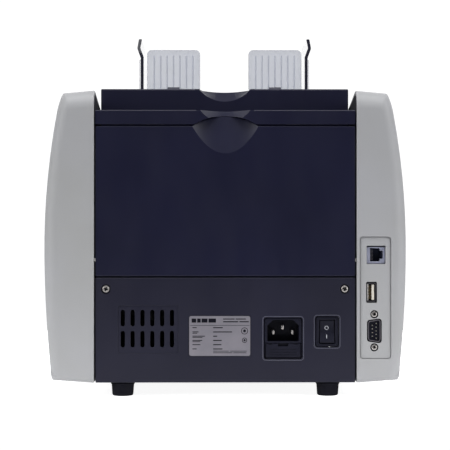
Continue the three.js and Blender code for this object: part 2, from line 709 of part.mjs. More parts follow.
// A side guide: an upright blade with a flared top, and a rack behind the gate wall.
function sideGuide(name, side) {
  const { x, t, rear, length, top, flareZ, jogZ, jog, lean, bottom } = GUIDE;
  const inner = x - t / 2;
  const outline = polygon(
    [
      [inner, bottom],
      [inner + t, bottom],
      [inner + t, flareZ],
      [inner + t + jog, jogZ],
      [inner + t + lean, top],
      [inner + lean, top],
      [inner + jog, jogZ + 0.5],
      [inner, flareZ + 0.7],
    ].map(([a, b]) => [side * a, b]),
  );
  const sideView = polygon([
    [rear - length, bottom + 1],
    [rear, bottom],
    [rear, top],
    [rear - length + 10, top],
    [rear - length + 3, top - 3],
    [rear - length, top - 10],
  ]);
  const blade = alongY(outline, rear - length, rear).intersect(alongX(sideView, -99, 99));
  // The foot passes through the cross slot to the rack; one rack runs above the pinion, one below.
  const middle = RACK.z + side * (RACK.pitchR + 1.2 + RACK.barHalf);
  const [low, high] = [middle - RACK.barHalf, middle + RACK.barHalf];
  const blades = range(side, inner, inner + t);
  const foot = block(...blades, rear - 6, RACK.y1, RACK.z - 3, RACK.z + 3).add(
    block(...blades, RACK.y0, RACK.y1, Math.min(low, RACK.z), Math.max(high, RACK.z)),
  );
  const ends = range(side, RACK.inner, inner + t);
  let rack = block(...ends, RACK.y0, RACK.y1, low, high);
  const pitch = (2 * Math.PI * RACK.pitchR) / RACK.teeth;
  const base = RACK.z + side * (RACK.pitchR + 1.3);
  const tip = RACK.z + side * (RACK.pitchR - 0.1);
  for (let at = RACK.inner + 1; at < RACK.outer; at += pitch) {
    const tooth = [
      [at - 0.75, base],
      [at - 0.35, tip],
      [at + 0.35, tip],
      [at + 0.75, base],
    ].map(([a, b]) => [side * a, b]);
    rack = rack.add(alongY(polygon(tooth), RACK.y0, RACK.y1));
  }
  add(name, blade.add(foot).add(rack), clear);
}

function guidePinion() {
  const shape = new THREE.Shape();
  for (let i = 0; i < RACK.teeth; i++) {
    const turn = (i * 2 * Math.PI) / RACK.teeth;
    const at = (r, off) => [r * Math.cos(turn + off), r * Math.sin(turn + off)];
    const method = i ? "lineTo" : "moveTo";
    shape[method](...at(RACK.pitchR - 1.3, -0.16));
    shape.lineTo(...at(RACK.pitchR - 0.35, -0.07));
    shape.lineTo(...at(RACK.pitchR - 0.35, 0.07));
    shape.lineTo(...at(RACK.pitchR - 1.3, 0.16));
  }
  const gear = extrude(shape, RACK.y1 - RACK.y0, 1)
    .rotateX(Math.PI / 2)
    .translate(0, RACK.y1, RACK.z);
  const stud = rodY(1.5, UNIT.gateY + WALL + 1.5, RACK.y1 + 3, 0, RACK.z, 12);
  add("guide_pinion", solid(gear).add(stud), amber);
}

function separator() {
  const { r, half, gap } = SEPARATOR;
  const at = { y: SHAFT.feed.y, z: SHAFT.feed.z + SHAFT.feed.r + gap + r };
  const roller = turned(at, AXLE_R, -half, half, [[-12, 12, r]]);
  add("separator_roller", roller, amber);
}

// ---- front --------------------------------------------------------------------------------------
// The control panel's own frame: X across, Y up the slope, Z out of it, origin at its middle.
function panelFrame() {
  const { bottomY, bottomZ, topY, topZ } = PANEL;
  const up = new THREE.Vector3(0, topY - bottomY, topZ - bottomZ).normalize();
  const across = new THREE.Vector3(1, 0, 0);
  const out = new THREE.Vector3().crossVectors(across, up);
  return new THREE.Matrix4()
    .makeBasis(across, up, out)
    .setPosition(0, (bottomY + topY) / 2, (bottomZ + topZ) / 2);
}
const onPanel = (geometry) => solid(geometry.applyMatrix4(panelFrame()));
const KEYS = [
  ["key_menu", -76, 20],
  ["key_mode", -76, 0],
  ["key_report", -76, -20],
  ["key_up", 76, 20],
  ["key_down", 76, 0],
  ["key_start", 76, -20],
];

function frontPanel() {
  const { bottomY, bottomZ, topY, topZ, innerY, t } = PANEL;
  const lipY = UNIT.frontY - 10;
  const lipZ = UNIT.floorFrontZ + 4;
  const outline = polygon([
    [bottomY, bottomZ],
    [innerY, bottomZ + 4],
    [innerY, bottomZ + 4 + t],
    [bottomY + t + 1, bottomZ + t],
    [topY + t, topZ - t],
    [lipY, lipZ - t],
    [lipY, lipZ],
    [topY, topZ],
  ]);
  let panel = alongX(outline, -BODY_HALF, BODY_HALF);
  const flat = (w, h, d, x, y) => new THREE.BoxGeometry(w, h, d).translate(x, y, 0);
  const { w, h, y: middle, t: paneT, moduleT } = DISPLAY;
  panel = panel.subtract(onPanel(flat(w + 0.8, h + 0.8, 12, 0, middle)));
  for (const [, x, y] of KEYS)
    panel = panel.subtract(onPanel(flat(KEY.w + 0.8, KEY.h + 0.8, 12, x, y)));
  add("front_panel", panel, navy);
  const pane = extrude(rounded(0, middle, w, h, 1.5), paneT, 3).translate(0, 0, 0.2 - paneT);
  add("display_window", onPanel(pane), glass);
  const deep = paneT + moduleT / 2 + GAP;
  const module = new THREE.BoxGeometry(w - 4, h - 4, moduleT).translate(0, middle, -deep);
  add("display_module", onPanel(module), green);
  for (const [name, x, y] of KEYS) {
    const cap = extrude(rounded(x, y, KEY.w, KEY.h, KEY.r), KEY.below + KEY.proud, 3);
    add(name, onPanel(cap.translate(0, 0, -KEY.below)), grey);
  }
}

// The stacker pocket: back plate with slots for the wheels, and a floor with a finger notch.
function stackerPocket() {
  const { backY: back, topZ, frontY, frontZ, lowZ, wheelX, slotHalf } = POCKET;
  const outline = polygon([
    [frontY, frontZ + 3],
    [frontY, frontZ],
    [back - 10, lowZ],
    [back + 4, lowZ + 3],
    [back + 4, topZ],
    [back + 1.5, topZ],
    [back, lowZ + 9],
    [back - 10, lowZ + 3.5],
  ]);
  let pocket = alongX(outline, -BODY_HALF, BODY_HALF);
  for (const x of [-wheelX, wheelX])
    pocket = pocket.subtract(block(x - slotHalf, x + slotHalf, -60, 0, lowZ + 9, topZ + 10));
  const notch = alongZ(rounded(0, frontY, NOTCH.w, NOTCH.h, NOTCH.r), BASE_Z, frontZ + 10, 5);
  add("stacker_pocket", pocket.subtract(notch), slate);
}

// ---- base, boards and sensors -------------------------------------------------------------------
function base() {
  const front = POCKET.frontY + 1;
  const tray = block(-BODY_HALF, BODY_HALF, front, PANEL_Y - WALL - GAP, BASE_Z, BASE_Z + BASE_T);
  const lip = block(-BODY_HALF, BODY_HALF, front, front + BASE_T, BASE_Z, POCKET.frontZ - 2);
  add("base_tray", tray.add(lip), slate);
  for (const [name, side] of SIDES)
    for (const [end, y] of [["front", FOOT.frontY], ["rear", FOOT.rearY]]) {
      const { topR, bottomR, h, x } = FOOT;
      const profile = [
        [0, 0],
        [bottomR - 1.5, 0],
        [bottomR, 1.5],
        [topR, h],
        [0, h],
      ].map(([radius, z]) => new THREE.Vector2(radius, z));
      const foot = new THREE.LatheGeometry(profile, 24).rotateX(Math.PI / 2);
      add(`${end}_${name}_foot`, solid(foot.translate(side * x, y, 0)), rubber);
    }
}

function electronics() {
  add("main_board", block(-105, -103.4, -60, 121, 26, 132), green);
  add("power_supply", block(-20, 34, 20, 100, 16, 44), green);
  const { half, y0, y1, t, gap } = SENSOR;
  const path = SHAFT.lower.z - SHAFT.lower.r - gap / 2; // the notes run forward at this height
  add("upper_image_sensor", block(-half, half, y0, y1, path + gap, path + gap + t), black);
  add("lower_image_sensor", block(-half, half, y0, y1, path - gap - t, path - gap), black);
}

// ---- power inlet, switch, label and ports -------------------------------------------------------
function powerInlet() {
  const { x, z, w, h } = INLET;
  const face = PANEL_Y - 0.4;
  const halfW = SOCKET.w / 2;
  const halfH = SOCKET.h / 2;
  const cavity = polygon([
    [x - halfW, SOCKET.z - halfH],
    [x + halfW, SOCKET.z - halfH],
    [x + halfW, SOCKET.z + halfH - 4.5],
    [x + halfW - 4.5, SOCKET.z + halfH],
    [x - halfW + 4.5, SOCKET.z + halfH],
    [x - halfW, SOCKET.z + halfH - 4.5],
  ]);
  let body = alongY(rounded(x, z, w, h, 1.2), face - 4, face).add(
    block(x - 13.8, x + 13.8, face - 24, face - 3, z - 15, z + 15),
  );
  body = body.subtract(alongY(cavity, face - SOCKET.depth, face + 1));
  const { w: drawerW, z0, z1, depth } = DRAWER;
  const bay = drawerW / 2 + GAP;
  body = body.subtract(
    block(x - bay, x + bay, face - depth - 2, face + 1, z0 - GAP, z1 + GAP),
  );
  const floor = face - SOCKET.depth;
  for (const [dx, pinZ] of PINS)
    body = body.add(block(x + dx - 1, x + dx + 1, floor - 1, face - 4.6, pinZ - 2, pinZ + 2));
  add("power_inlet", body, black);
  const drawer = block(x - drawerW / 2, x + drawerW / 2, face - depth, face - 0.2, z0, z1);
  const grip = block(x - 4, x + 4, face - 2.4, face + 1, z1 - 2.4, z1 + 1);
  add("fuse_drawer", drawer.subtract(grip), black);
}

function rockerSwitch() {
  const { x, z, w, h, rockerW, rockerH, angle } = SWITCH;
  const face = PANEL_Y - 0.3;
  const window = rockerW / 2 + 0.4;
  const bezel = alongY(rounded(x, z, w, h, 1.2), face - 3, face)
    .add(block(x - 7.6, x + 7.6, face - 15, face - 2, z - 10.2, z + 10.2))
    .subtract(block(x - window, x + window, face - 12, face + 1, z - 8.9, z + 8.9));
  add("switch_bezel", bezel, black);
  // The rocker is a shallow V, pressed in at its upper half.
  const half = rockerH / 2;
  const tilt = THREE.MathUtils.degToRad(angle);
  const centre = new THREE.Vector2(0, 0);
  const outline = [
    [1.9, -half],
    [0.2, 0],
    [1.9, half],
    [-3.6, half - 0.6],
    [-6, 0],
    [-3.6, 0.6 - half],
  ].map(([a, b]) => new THREE.Vector2(a, b).rotateAround(centre, tilt));
  const rocker = extrude(new THREE.Shape(outline), rockerW, 1).applyMatrix4(CYCLE);
  rocker.translate(x - rockerW / 2, face - 1.9, z);
  add("switch_rocker", solid(rocker), black);
}

function ratingLabel() {
  const { x0, x1, z0, z1, r, t } = LABEL;
  const plate = rounded((x0 + x1) / 2, (z0 + z1) / 2, x1 - x0, z1 - z0, r);
  add("rating_label", alongY(plate, PANEL_Y - t, PANEL_Y), silverLabel);
}

function ports() {
  const rear = HALF_DEPTH - PORTS.deep;
  // A box of the given width and height round a port's middle, from Y `from` to Y `to`.
  const centred = (at, w, h, from, to) =>
    block(at.x - w / 2, at.x + w / 2, from, to, at.z - h / 2, at.z + h / 2);
  const jack = centred(JACK, JACK.w, JACK.h, rear - 16, rear)
    .subtract(block(JACK.x - 3.2, JACK.x + 4.4, rear - 13, rear + 1, JACK.z - 5, JACK.z + 5))
    .subtract(block(JACK.x - 5.4, JACK.x, rear - 13, rear + 1, JACK.z - 3, JACK.z + 3));
  add("network_port", jack, pale);
  const usb = centred(USB, USB.w, USB.h, rear - 14, rear)
    .subtract(centred(USB, USB.w - 1, USB.h - 1, rear - 12, rear + 1))
    .add(block(USB.x - 1.9, USB.x - 0.1, rear - 13, rear - 1, USB.z - 5.5, USB.z + 5.5));
  add("usb_port", usb, steel);
  const { x, z } = SERIAL;
  let serial = alongY(serialOutline(0), rear - 2, rear + 0.6)
    .add(block(x - 6.1, x + 6.1, rear - 3, rear - 2, z - 15.4, z + 15.4))
    .add(block(x - 5.4, x + 5.4, rear - 14, rear - 2.5, z - 9.8, z + 9.8))
    .subtract(alongY(serialOutline(-0.6), rear - 5.2, rear + 1));
  const screws = [["upper", SERIAL.screw], ["lower", -SERIAL.screw]];
  for (const [, rise] of screws)
    serial = serial.subtract(rodY(1.8, rear - 6, rear, x, z + rise, 12));
  add("serial_port", serial, steel);
  for (const [name, rise] of screws)
    add(`serial_${name}_screw`, crossScrew(x, z + rise, rear - 0.4, SERIAL.headR, 1.3, 8), steel);
}

// ---- assembly -----------------------------------------------------------------------------------
base();
for (const [name, side] of SIDES) {
  sideCover(`${name}_side_cover`, side);
  sideFrame(`${name}_side_frame`, side);
  const screw = crossScrew(side * SCREW.x, SCREW.z, PANEL_Y - 0.2, SCREW.headR, 0.9, 9);
  add(`${name}_panel_screw`, screw, steel);
  hopperPlate(`${name}_hopper_plate`, side);
  sideGuide(`${name}_side_guide`, side);
}
lowerPanel();
topStrip();
rearDoor();
upperUnit();
guidePinion();
separator();
drive();
frontPanel();
stackerPocket();
electronics();
powerInlet();
rockerSwitch();
ratingLabel();
ports();

export default root;
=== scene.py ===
"""Banknote counting machine, seen from the rear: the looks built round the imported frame.

Lengths are in millimetres until a mesh is made, in the CAD's frame: +Z up, the operator at -Y,
the rear of the machine at +Y.
"""
import bmesh
import bpy
import json
import math
import numpy as np
from mathutils import Matrix, Vector


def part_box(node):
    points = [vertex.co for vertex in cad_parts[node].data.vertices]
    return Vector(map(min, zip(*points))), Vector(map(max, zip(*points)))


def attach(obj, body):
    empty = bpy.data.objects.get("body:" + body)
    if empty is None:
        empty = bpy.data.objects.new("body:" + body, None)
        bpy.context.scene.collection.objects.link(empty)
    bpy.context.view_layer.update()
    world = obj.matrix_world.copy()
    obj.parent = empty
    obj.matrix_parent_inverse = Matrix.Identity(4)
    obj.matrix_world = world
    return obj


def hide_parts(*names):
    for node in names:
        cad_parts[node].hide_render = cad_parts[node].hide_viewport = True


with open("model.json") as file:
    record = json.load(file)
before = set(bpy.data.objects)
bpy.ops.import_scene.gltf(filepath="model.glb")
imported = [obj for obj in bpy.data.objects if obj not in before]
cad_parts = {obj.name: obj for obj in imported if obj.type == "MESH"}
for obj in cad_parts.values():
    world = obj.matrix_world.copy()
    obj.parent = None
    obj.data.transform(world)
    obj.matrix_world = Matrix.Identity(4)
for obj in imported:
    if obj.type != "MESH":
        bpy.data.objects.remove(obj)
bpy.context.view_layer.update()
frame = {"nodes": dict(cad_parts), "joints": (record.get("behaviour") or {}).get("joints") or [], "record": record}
SCENE = bpy.context.scene
MM = 0.001

# ---- sizes from the frame -----------------------------------------------------------------------


def box_mm(node):
    """The lowest and highest corners of a CAD node, in millimetres."""
    low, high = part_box(node)
    return low / MM, high / MM


def joint_pos(name):
    """Where a joint of the record is, in millimetres."""
    found = next(j for j in frame["joints"] if j["name"] == name)
    return Vector(found["pos_m"]) / MM


COVER_LOW, COVER_HIGH = box_mm("right_side_cover")
HALF_DEPTH = COVER_HIGH.y
HALF_WIDTH = COVER_HIGH.x
COVER_INNER = COVER_LOW.x
BASE_Z = 10.2
COVER_TOP = 233.7
DOOR_LOW = box_mm("rear_door")[0]
STRIP_LOW, STRIP_HIGH = box_mm("rear_top_strip")
LOWER_LOW, LOWER_HIGH = box_mm("rear_lower_panel")
UNIT_LOW, UNIT_HIGH = box_mm("upper_unit")
PANEL_Y = LOWER_HIGH.y
WALL = LOWER_HIGH.y - LOWER_LOW.y

SIDES = (("left", -1), ("right", 1))

# ---- outlines -----------------------------------------------------------------------------------


def arc(cx, cy, r, start, end, steps):
    """Points of an arc, angles in degrees."""
    turns = [math.radians(start + (end - start) * i / steps) for i in range(steps + 1)]
    return [(cx + r * math.cos(t), cy + r * math.sin(t)) for t in turns]


def rounded(cx, cy, w, h, r, steps=5):
    """A rectangle with round corners, counter-clockwise."""
    a, b = w / 2 - r, h / 2 - r
    return (
        arc(cx + a, cy + b, r, 0, 90, steps)
        + arc(cx - a, cy + b, r, 90, 180, steps)
        + arc(cx - a, cy - b, r, 180, 270, steps)
        + arc(cx + a, cy - b, r, 270, 360, steps)
    )


def circle(cx, cy, r, steps=32):
    return arc(cx, cy, r, 0, 360, steps)[:-1]


def cross(u, v):
    return u[0] * v[1] - u[1] * v[0]


def filleted(corners, inset=0.0, steps=6, straight=1):
    """A convex counter-clockwise outline of (a, b, radius) corners, set in all round.

    Each straight side is cut into `straight` pieces."""
    points = [Vector(c[:2]) for c in corners]
    count = len(points)
    sides = []
    for i, p in enumerate(points):
        way = (points[(i + 1) % count] - p).normalized()
        sides.append((p + Vector((-way.y, way.x)) * inset, way))
    bends = []
    for i, corner in enumerate(corners):
        (p, u), (q, v) = sides[i - 1], sides[i]
        meet = p + u * (cross(q - p, v) / cross(u, v))
        r = max(corner[2] - inset, 0.4)
        turn = math.acos(max(-1.0, min(1.0, u.dot(v))))
        start = meet - u * (r * math.tan(turn / 2))
        centre = start + Vector((-u.y, u.x)) * r
        first = math.degrees(math.atan2(start.y - centre.y, start.x - centre.x))
        bends.append(arc(centre.x, centre.y, r, first, first + math.degrees(turn), steps))
    outline = []
    for i, bend in enumerate(bends):
        outline += bend
        a, b = Vector(bend[-1]), Vector(bends[(i + 1) % count][0])
        outline += [tuple(a.lerp(b, k / straight)) for k in range(1, straight)]
    return outline


def grown(outline, d):
    """An outline moved outwards by d (inwards if negative), corner by corner."""
    count = len(outline)
    area = sum(cross(outline[i - 1], outline[i]) for i in range(count))
    sign = 1 if area > 0 else -1
    moved = []
    for i in range(count):
        p, a, b = Vector(outline[i]), Vector(outline[i - 1]), Vector(outline[(i + 1) % count])
        u, v = (p - a).normalized(), (b - p).normalized()
        n = Vector((u.y + v.y, -u.x - v.x)).normalized() * sign
        spread = max(0.35, n.dot(Vector((u.y, -u.x)) * sign))
        moved.append(tuple(p + n * (d / spread)))
    return moved


# ---- meshes -------------------------------------------------------------------------------------
PLACE = {
    "X": lambda a, b, c: (c, a, b),
    "Y": lambda a, b, c: (a, c, b),
    "Z": lambda a, b, c: (a, b, c),
}


def linked(name, data):
    """A new object in the scene, holding a mesh, a light or a camera."""
    obj = bpy.data.objects.new(name, data)
    SCENE.collection.objects.link(obj)
    return obj


def finished(name, work):
    """A new object from a bmesh, which is used up."""
    mesh = bpy.data.meshes.new(name)
    work.to_mesh(mesh)
    work.free()
    return linked(name, mesh)


def mesh_object(name, verts, faces):
    """A closed mesh from millimetre points, its faces turned outwards."""
    mesh = bpy.data.meshes.new(name)
    mesh.from_pydata([Vector(v) * MM for v in verts], [], faces)
    work = bmesh.new()
    work.from_mesh(mesh)
    bmesh.ops.remove_doubles(work, verts=work.verts, dist=1e-7)
    bmesh.ops.recalc_face_normals(work, faces=work.faces)
    work.to_mesh(mesh)
    work.free()
    return linked(name, mesh)


def loft(name, axis, rings):
    """A solid through (level, outline) rings along an axis, its ends closed."""
    place = PLACE[axis]
    verts = [place(a, b, level) for level, outline in rings for a, b in outline]
    n = len(rings[0][1])
    faces = []
    for k in range(len(rings) - 1):
        for i in range(n):
            j = (i + 1) % n
            faces.append((k * n + i, k * n + j, (k + 1) * n + j, (k + 1) * n + i))
    faces += [tuple(range(n)), tuple(range((len(rings) - 1) * n, len(rings) * n))]
    return mesh_object(name, verts, faces)


def end_rings(outline, end, r, way, steps):
    """Rings from an end face, at `end`, back to the full outline r further along."""
    if not r:
        return [(end, outline)]
    rings = []
    for k in range(steps, -1, -1):
        turn = math.radians(90 * k / steps)
        rings.append((end + way * r * (1 - math.sin(turn)), grown(outline, -r * (1 - math.cos(turn)))))
    return rings


def slab(name, axis, outline, low, high, low_round=0.0, high_round=0.0, steps=3):
    """An extruded outline whose two ends are rounded over."""
    rings = end_rings(outline, low, low_round, 1, steps)
    return loft(name, axis, rings + end_rings(outline, high, high_round, -1, steps)[::-1])


def flared(name, axis, outline, low, high, mouth, r, steps=3):
    """A cutter whose mouth, at the `mouth` level, opens out in a rounded lip of radius r."""
    lip = []
    for k in range(steps + 1):
        turn = math.radians(90 * k / steps)
        lip.append((mouth - r + r * math.sin(turn), grown(outline, r - r * math.cos(turn))))
    rings = [(low, outline)] + lip + [(high, grown(outline, r))]
    return loft(name, axis, rings)


def lathe(name, axis, centre, profile, segments=48):
    """A solid turned round an axis: profile is (radius, level) points, from axis to axis."""
    place = PLACE[axis]
    a0, b0 = centre
    verts, rows = [], []
    for r, level in profile:
        if r < 1e-6:
            rows.append([len(verts)])
            verts.append(place(a0, b0, level))
            continue
        rows.append(list(range(len(verts), len(verts) + segments)))
        for i in range(segments):
            turn = 2 * math.pi * i / segments
            verts.append(place(a0 + r * math.cos(turn), b0 + r * math.sin(turn), level))
    faces = []
    for low, high in zip(rows, rows[1:] + ([rows[0]] if len(rows[0]) > 1 else [])):
        for i in range(segments):
            j = (i + 1) % segments
            ring = [low[i % len(low)], low[j % len(low)], high[j % len(high)], high[i % len(high)]]
            face = tuple(dict.fromkeys(ring))
            if len(face) > 2:
                faces.append(face)
    return mesh_object(name, verts, faces)


def prism(name, axis, outline, low, high):
    """An outline carried straight from one level to another."""
    return loft(name, axis, [(low, outline), (high, outline)])


def block(name, x0, x1, y0, y1, z0, z1, r=0.0):
    """A box with its edges rounded over by r."""
    obj = prism(name, "Z", [(x0, y0), (x1, y0), (x1, y1), (x0, y1)], z0, z1)
    return bevel(obj, r) if r else obj


def settle(obj):
    """Applies an object's modifiers to its mesh."""
    graph = bpy.context.evaluated_depsgraph_get()
    mesh = bpy.data.meshes.new_from_object(obj.evaluated_get(graph))
    old = obj.data
    obj.modifiers.clear()
    obj.data = mesh
    bpy.data.meshes.remove(old)
    return obj


def soft_edges(obj, width, steps, angle):
    """A live modifier that rounds the edges sharper than an angle."""
    mod = obj.modifiers.new("edges", "BEVEL")
    mod.width = width * MM
    mod.segments = steps
    mod.limit_method = "ANGLE"
    mod.angle_limit = math.radians(angle)


def bevel(obj, width, steps=2, angle=35.0):
    """Rounds the sharp edges of a piece for good."""
    soft_edges(obj, width, steps, angle)
    return settle(obj)


def combine(obj, others, operation):
    """A boolean with each of the others in turn, which are used up."""
    for other in others:
        mod = obj.modifiers.new("cut", "BOOLEAN")
        mod.operation = operation
        mod.object = other
        mod.solver = "EXACT"
        settle(obj)
        bpy.data.objects.remove(other)
    return obj


def cut(obj, *others):
    return combine(obj, others, "DIFFERENCE")


def hollow(obj, outline, low, high):
    """A straight opening along Y."""
    return cut(obj, slab("cut", "Y", outline, low, high))


def weld(obj, *others):
    return combine(obj, others, "UNION")


def bored(obj, y, z, r):
    """A piece drilled right through along X, for a pin or an axle."""
    return cut(obj, prism("bore", "X", circle(y, z, r, 24), -HALF_WIDTH, HALF_WIDTH))


def gather(name, objects):
    """Several meshes as one piece of separate closed bodies."""
    work = bmesh.new()
    for obj in objects:
        work.from_mesh(obj.data)
        bpy.data.objects.remove(obj)
    return finished(name, work)


def paint_rim_reflections(obj, axis, material, highlight_above=1e9, behind=-1e9):
    """Paints dark reflections on the rims of a clear sheet, whose broad faces look along an axis, and a lighter
    painted highlight on the rims above a given height.
    """
    obj.data.materials.append(material)
    obj.data.materials.append(CLEAR_TIP_HIGHLIGHT)
    for face in obj.data.polygons:
        middle = face.center / MM
        if abs(face.normal[axis]) < 0.7 and middle.y > behind:
            face.material_index = 2 if middle.z > highlight_above else 1


def piece(obj, material, body, slot, *replaced, smooth=32.0):
    """Gives a piece its finish, shading and body, and says which CAD nodes it stands for."""
    obj.data.materials.clear()
    obj.data.materials.append(material)
    obj.data.shade_smooth()
    obj.data.set_sharp_from_angle(angle=math.radians(smooth))
    # Large flat faces keep their own normal where a small rounded one meets them.
    normals = obj.modifiers.new("normals", "WEIGHTED_NORMAL")
    normals.mode = "FACE_AREA"
    normals.keep_sharp = True
    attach(obj, body)
    if replaced:
        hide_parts(*replaced)
    return obj


# ---- materials ----------------------------------------------------------------------------------


class Shader:
    """A Principled material being wired up, in object coordinates."""

    def __init__(self, name, color, roughness, metallic=0.0, specular=0.5):
        self.material = bpy.data.materials.new(name)
        self.material.use_nodes = True
        self.tree = self.material.node_tree
        self.shader = self.tree.nodes["Principled BSDF"]
        self.shader.inputs["Base Color"].default_value = (*color, 1)
        self.shader.inputs["Roughness"].default_value = roughness
        self.shader.inputs["Metallic"].default_value = metallic
        self.shader.inputs["Specular IOR Level"].default_value = specular
        self.color = color
        self.roughness = roughness
        self.place = self.node("ShaderNodeTexCoord").outputs["Object"]

    def node(self, kind, **values):
        made = self.tree.nodes.new(kind)
        for key, value in values.items():
            setattr(made, key, value)
        return made

    def link(self, a, b):
        self.tree.links.new(a, b)

    def noise(self, scale, detail=2.0, stretch=None):
        """A noise of `scale` features a metre, stretched along the axes if asked."""
        made = self.node("ShaderNodeTexNoise")
        made.inputs["Scale"].default_value = scale
        made.inputs["Detail"].default_value = detail
        source = self.place
        if stretch:
            mapping = self.node("ShaderNodeMapping")
            mapping.inputs["Scale"].default_value = stretch
            self.link(self.place, mapping.inputs["Vector"])
            source = mapping.outputs["Vector"]
        self.link(source, made.inputs["Vector"])
        return made.outputs["Fac"]

    def band(self, source, low, high):
        """A 0..1 value remapped to low..high."""
        made = self.node("ShaderNodeMapRange")
        made.inputs["From Min"].default_value = 0.3
        made.inputs["From Max"].default_value = 0.7
        made.inputs["To Min"].default_value = low
        made.inputs["To Max"].default_value = high
        self.link(source, made.inputs["Value"])
        return made.outputs["Result"]

    def vary_color(self, source, amount, tint=(1, 1, 1)):
        """Base colour drifting by a share of itself, towards a tint."""
        mix = self.node("ShaderNodeMix", data_type="RGBA")
        dark = [c * (1 - amount) for c in self.color]
        light = [c * (1 + amount) * t for c, t in zip(self.color, tint)]
        mix.inputs["A"].default_value = (*dark, 1)
        mix.inputs["B"].default_value = (*light, 1)
        self.link(source, mix.inputs["Factor"])
        self.link(mix.outputs["Result"], self.shader.inputs["Base Color"])
        return mix

    def vary_roughness(self, source, spread):
        made = self.band(source, self.roughness - spread, self.roughness + spread)
        self.link(made, self.shader.inputs["Roughness"])

    def bump(self, source, height_mm, below=None):
        """A bump of the given height, over another one if given."""
        made = self.node("ShaderNodeBump")
        made.inputs["Distance"].default_value = height_mm * MM
        made.inputs["Strength"].default_value = 1.0
        self.link(source, made.inputs["Height"])
        if below is not None:
            self.link(below, made.inputs["Normal"])
        self.link(made.outputs["Normal"], self.shader.inputs["Normal"])
        return made.outputs["Normal"]


def moulded(name, color, roughness=0.5, grain=0.02, drift=0.05, specular=0.35, pitch=2200):
    """Spark-textured moulded plastic: fine grain, slow drift of shade and gloss."""
    s = Shader(name, color, roughness, specular=specular)
    slow = s.noise(14, 3)
    fine = s.noise(pitch, 2)
    flow = s.noise(60, 2, (1, 1, 0.35))
    s.vary_color(s.band(slow, 0, 1), drift, (1.0, 1.0, 1.04))
    s.vary_roughness(flow, 0.05)
    under = s.bump(slow, 0.05)
    s.bump(fine, grain, under)
    return s.material


def rubbery(name, color, roughness=0.8, grain=0.03):
    """Moulded or ground rubber: dusty, with a fine tooth."""
    s = Shader(name, color, roughness, specular=0.12)
    s.vary_color(s.band(s.noise(90, 4), 0, 1), 0.18, (1.06, 1.04, 1.0))
    s.vary_roughness(s.noise(200, 2), 0.08)
    s.bump(s.noise(1800, 3), grain)
    return s.material


def metal(name, color, roughness, stretch=(1, 1, 1), grain=0.004):
    """Plated or turned metal with fine drawn lines along one way."""
    s = Shader(name, color, roughness, metallic=1.0)
    lines = s.noise(900, 2, stretch)
    s.vary_color(s.band(s.noise(70, 3), 0, 1), 0.08, (1.02, 1.0, 0.98))
    s.vary_roughness(lines, 0.1)
    s.bump(lines, grain)
    return s.material


def painted(name, color, roughness=0.45):
    """Powder coat on sheet steel: a soft orange peel."""
    s = Shader(name, color, roughness, specular=0.4)
    s.vary_color(s.band(s.noise(20, 3), 0, 1), 0.1)
    s.vary_roughness(s.noise(120, 2), 0.06)
    s.bump(s.noise(700, 2), 0.03)
    return s.material


def clear_sheet(name, tint, opacity, roughness=0.12):
    """Thin clear plastic: mostly seen through, tinted, with soft handling marks."""
    s = Shader(name, tint, roughness, specular=0.5)
    smear = s.noise(45, 4)
    s.vary_color(s.band(smear, 0, 1), 0.05)
    s.vary_roughness(s.noise(160, 3), 0.06)
    s.bump(s.noise(260, 2), 0.01)
    s.link(s.band(smear, opacity - 0.03, opacity + 0.03), s.shader.inputs["Alpha"])
    return s.material


GREY = moulded("grey_plastic", (0.350, 0.353, 0.357), 0.5, drift=0.03)
NAVY = moulded("navy_plastic", (0.0082, 0.0087, 0.0250), 0.40, drift=0.10, specular=0.26)
STRIP_NAVY = moulded("navy_strip_plastic", (0.0082, 0.0085, 0.0240), 0.40, drift=0.08, specular=0.28)
SLATE = moulded("slate_plastic", (0.0120, 0.0120, 0.0240), 0.45, drift=0.10, specular=0.24)
# Lighter and glossier than the slate: a painted highlight on the lips round the inlet and the switch.
LIP_SLATE_HIGHLIGHT = moulded("slate_plastic_lip_painted_highlight", (0.050, 0.051, 0.075), 0.35, drift=0.10, specular=0.5)
BLACK = moulded("black_plastic", (0.0068, 0.0070, 0.0150), 0.45, drift=0.12, specular=0.18)
STEEL = metal("nickel_steel", (0.60, 0.59, 0.57), 0.3, (1, 1, 0.08))
SCREW_STEEL = metal("screw_steel", (0.58, 0.56, 0.545), 0.32)
# A painted shade, for the driving recesses of the screws and the dark rings in the port openings.
RECESS_DARK = moulded("recess_shade", (0.010, 0.010, 0.012), 0.7, grain=0.004, specular=0.1)
FRAME_PAINT = painted("frame_paint", (0.02, 0.02, 0.022))
TYRE = rubbery("feed_rubber", (0.25, 0.085, 0.03))
RUBBER = rubbery("black_rubber", (0.0040, 0.0040, 0.0080))
CLEAR = clear_sheet("clear_plastic", (0.50, 0.53, 0.62), 0.46)
CLEAR_GUIDE = clear_sheet("clear_guide_plastic", (0.80, 0.82, 0.88), 0.08)
CLEAR_PALE = clear_sheet("clear_plastic_rail", (0.62, 0.62, 0.70), 0.28, 0.2)
